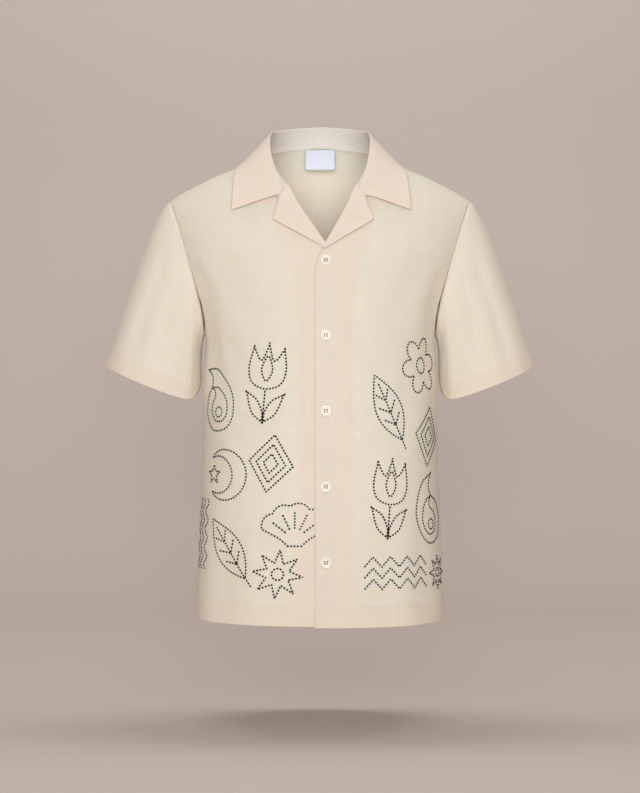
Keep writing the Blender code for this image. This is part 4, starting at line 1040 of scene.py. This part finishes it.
def on_cloth(u, z, which):
    """The cloth's surface `u` round from the middle at height z, with its folds, and its normal there."""
    x = width_at(np.sign(u) * np.interp(np.abs(u), section_run, section_turn), z)
    surface = on_front(x, z, front_relief(x, z, which) + 0.05)
    return leaned(surface * FLIP[which]), body_normal(x, z, "front") * FLIP[which]


def outline(*points, closed=True):
    """A smooth line through points, where a point given twice in a row is a corner."""
    rows = np.array(points, float)
    if closed:
        rows = np.vstack([rows[-1:], rows, rows[:2]])
    return curve_through(rows, np.linspace(int(closed), len(rows) - 1 - closed, 40 * len(rows)))


def polygon(points, closed=True):
    """Straight lines between points."""
    rows = np.array(points, float)
    rows = np.vstack([rows, rows[:1]]) if closed else rows
    return read_points(np.linspace(0, len(rows) - 1, 60 * len(rows)), np.arange(len(rows)), rows)


def star(tips, outer, inner, start=0.0, centre=(0.0, 0.0)):
    """Straight lines between tips at the outer radius and notches at the inner one, from a start angle."""
    angle = math.radians(start) + math.pi * np.arange(2 * tips) / tips
    reach = np.tile((outer, inner), tips)[:, None]
    return polygon(reach * np.stack([np.cos(angle), np.sin(angle)], axis=-1) + centre)


def round_line(radius, start=0.0, end=360.0, centre=(0.0, 0.0)):
    """x, z = radius (cos, sin) of an angle, where the radius may be a function of it."""
    angle = np.radians(np.linspace(start, end, 400))
    reach = radius(angle) if callable(radius) else radius
    return np.stack([centre[0] + reach * np.cos(angle), centre[1] + reach * np.sin(angle)], axis=-1)


def tulip():
    cup = outline((-13, 0), (-17, 13), (-14, 31), (-14, 31), (-6, 20), (0, 34), (0, 34), (6, 20),
                  (14, 31), (14, 31), (17, 13), (13, 0), (0, -5))
    stem = polygon([(0, -6), (0, -36)], False)
    leaf = outline((1, -34), (1, -34), (11, -26), (17, -9), (17, -9), (7, -15), (1, -26))
    return [cup, stem, leaf, leaf * (-1, 1), outline((0, 24), (-5, 12), (0, 2), (5, 12))]


def paisley():
    drop = outline((0, -25), (13, -21), (20, -7), (16, 8), (7, 17), (6, 27), (13, 35), (13, 35),
                   (-2, 32), (-13, 20), (-19, 5), (-17, -11), (-10, -22))
    return [drop, drop * 0.55 + (-1, -3), round_line(4.5, centre=(0, -8))]


def nested_diamonds():
    return [polygon([(0, h), (w, 0), (0, -h), (-w, 0)]) for w, h in ((21, 27), (14, 18), (7, 9))]


def moon_and_star():
    moon = np.vstack([round_line(21, 48, 312), round_line(15.5, 297, 63, (7.5, 0))])
    return [np.vstack([moon, moon[:1]]), star(5, 8.0, 3.4, 90.0, (13.0, 0.0))]


def waves():
    z = np.linspace(-42, 42, 300)
    return [np.stack([across + 3.6 * np.sin(z * 2 * math.pi / 21), z], axis=-1) for across in (-10, 0, 10)]


def shell():
    rim = round_line(lambda a: 30 + 2.6 * np.abs(np.sin(5.5 * (a - 0.30))), 17, 163, (0, -14))
    ribs = [polygon([(9 * math.cos(a), 9 * math.sin(a) - 14), (25 * math.cos(a), 25 * math.sin(a) - 14)], False)
            for a in np.radians((38, 64, 90, 116, 142))]
    foot = outline((28.7, -5.2), (14, -13), (6, -20), (6, -20), (-6, -20), (-6, -20), (-14, -13), (-28.7, -5.2),
                   closed=False)
    return [rim, foot] + ribs


def leaf():
    t = np.linspace(0, 1, 200)
    side = np.stack([14.5 * np.sin(math.pi * t) ** 0.9 * (1.1 - 0.35 * t), 64 * t - 32], axis=-1)
    veins = [polygon([(0, low), (flip * reach, low + 9)], False)
             for low, reach in ((-17, 9), (-5, 9.5), (7, 7)) for flip in (-1, 1)]
    return [np.vstack([side, side[::-1] * (-1, 1)]), polygon([(0, -42), (0, 24)], False)] + veins


def pointed_star():
    return [star(8, 21.0, 10.0), round_line(5.0)]


def rosette():
    return [round_line(lambda a: 12 + 10 * np.abs(np.cos(3 * a)) ** 0.8), round_line(6.0)]


def zigzags():
    return [polygon([(9.5 * k - 38, level + (5 if k % 2 else -5)) for k in range(9)], False)
            for level in (-11, 0, 11)]


# Columns: front, motif, distance round from the middle, height, turn in degrees, size, thread
MOTIFS = [
    ("right", tulip, 60.0, -250.0, 5.0, 1.12, "brown"),
    ("right", paisley, 116.0, -270.0, -14.0, 1.10, "green"),
    ("right", nested_diamonds, 54.0, -329.0, 8.0, 1.05, "brown"),
    ("right", moon_and_star, 104.0, -341.0, 0.0, 1.2, "brown"),
    ("right", waves, 139.0, -401.0, 0.0, 0.85, "green"),
    ("right", shell, 30.0, -388.0, 0.0, 1.1, "green"),
    ("right", leaf, 98.0, -414.0, -36.0, 1.1, "brown"),
    ("right", pointed_star, 46.0, -438.0, 6.0, 1.15, "brown"),
    ("left", rosette, 112.0, -232.0, 10.0, 1.3, "brown"),
    ("left", leaf, 66.0, -274.0, 26.0, 1.1, "green"),
    ("left", nested_diamonds, 122.0, -303.0, -8.0, 1.1, "green"),
    ("left", tulip, 66.0, -364.0, -5.0, 1.12, "brown"),
    ("left", paisley, 121.0, -382.0, 16.0, 1.12, "brown"),
    ("left", zigzags, 75.0, -437.0, 0.0, 1.0, "green"),
    ("left", pointed_star, 136.0, -440.0, 0.0, 0.85, "brown"),
]
threads_used = {"brown": spun_thread("dark_brown_thread", (0.020, 0.008, 0.006), 0.0),
                "green": spun_thread("dark_green_thread", (0.008, 0.046, 0.040), 0.0)}
for which in FLIP:
    for colour, thread in threads_used.items():
        sewn = []
        for front_name, motif, u, z, degrees, size, thread_name in MOTIFS:
            if (front_name, thread_name) != (which, colour):
                continue
            cosine, sine = math.cos(math.radians(degrees)), math.sin(math.radians(degrees))
            for line in motif():
                line = line @ np.array([[cosine, sine], [-sine, cosine]]) * size
                run = run_along(line)
                at = read_points(stitch_stops(run[-1], RUNNING_STITCH, RUNNING_GAP), run, line)
                sewn.append(on_cloth(u + at[..., 0], z + at[..., 1], which))
        paths, outs = (np.concatenate(rows) for rows in zip(*sewn))
        stitched_piece(f"embroidery_{which}_{colour}", thread, paths, outs, RUNNING_WIDTH, RUNNING_HEIGHT)
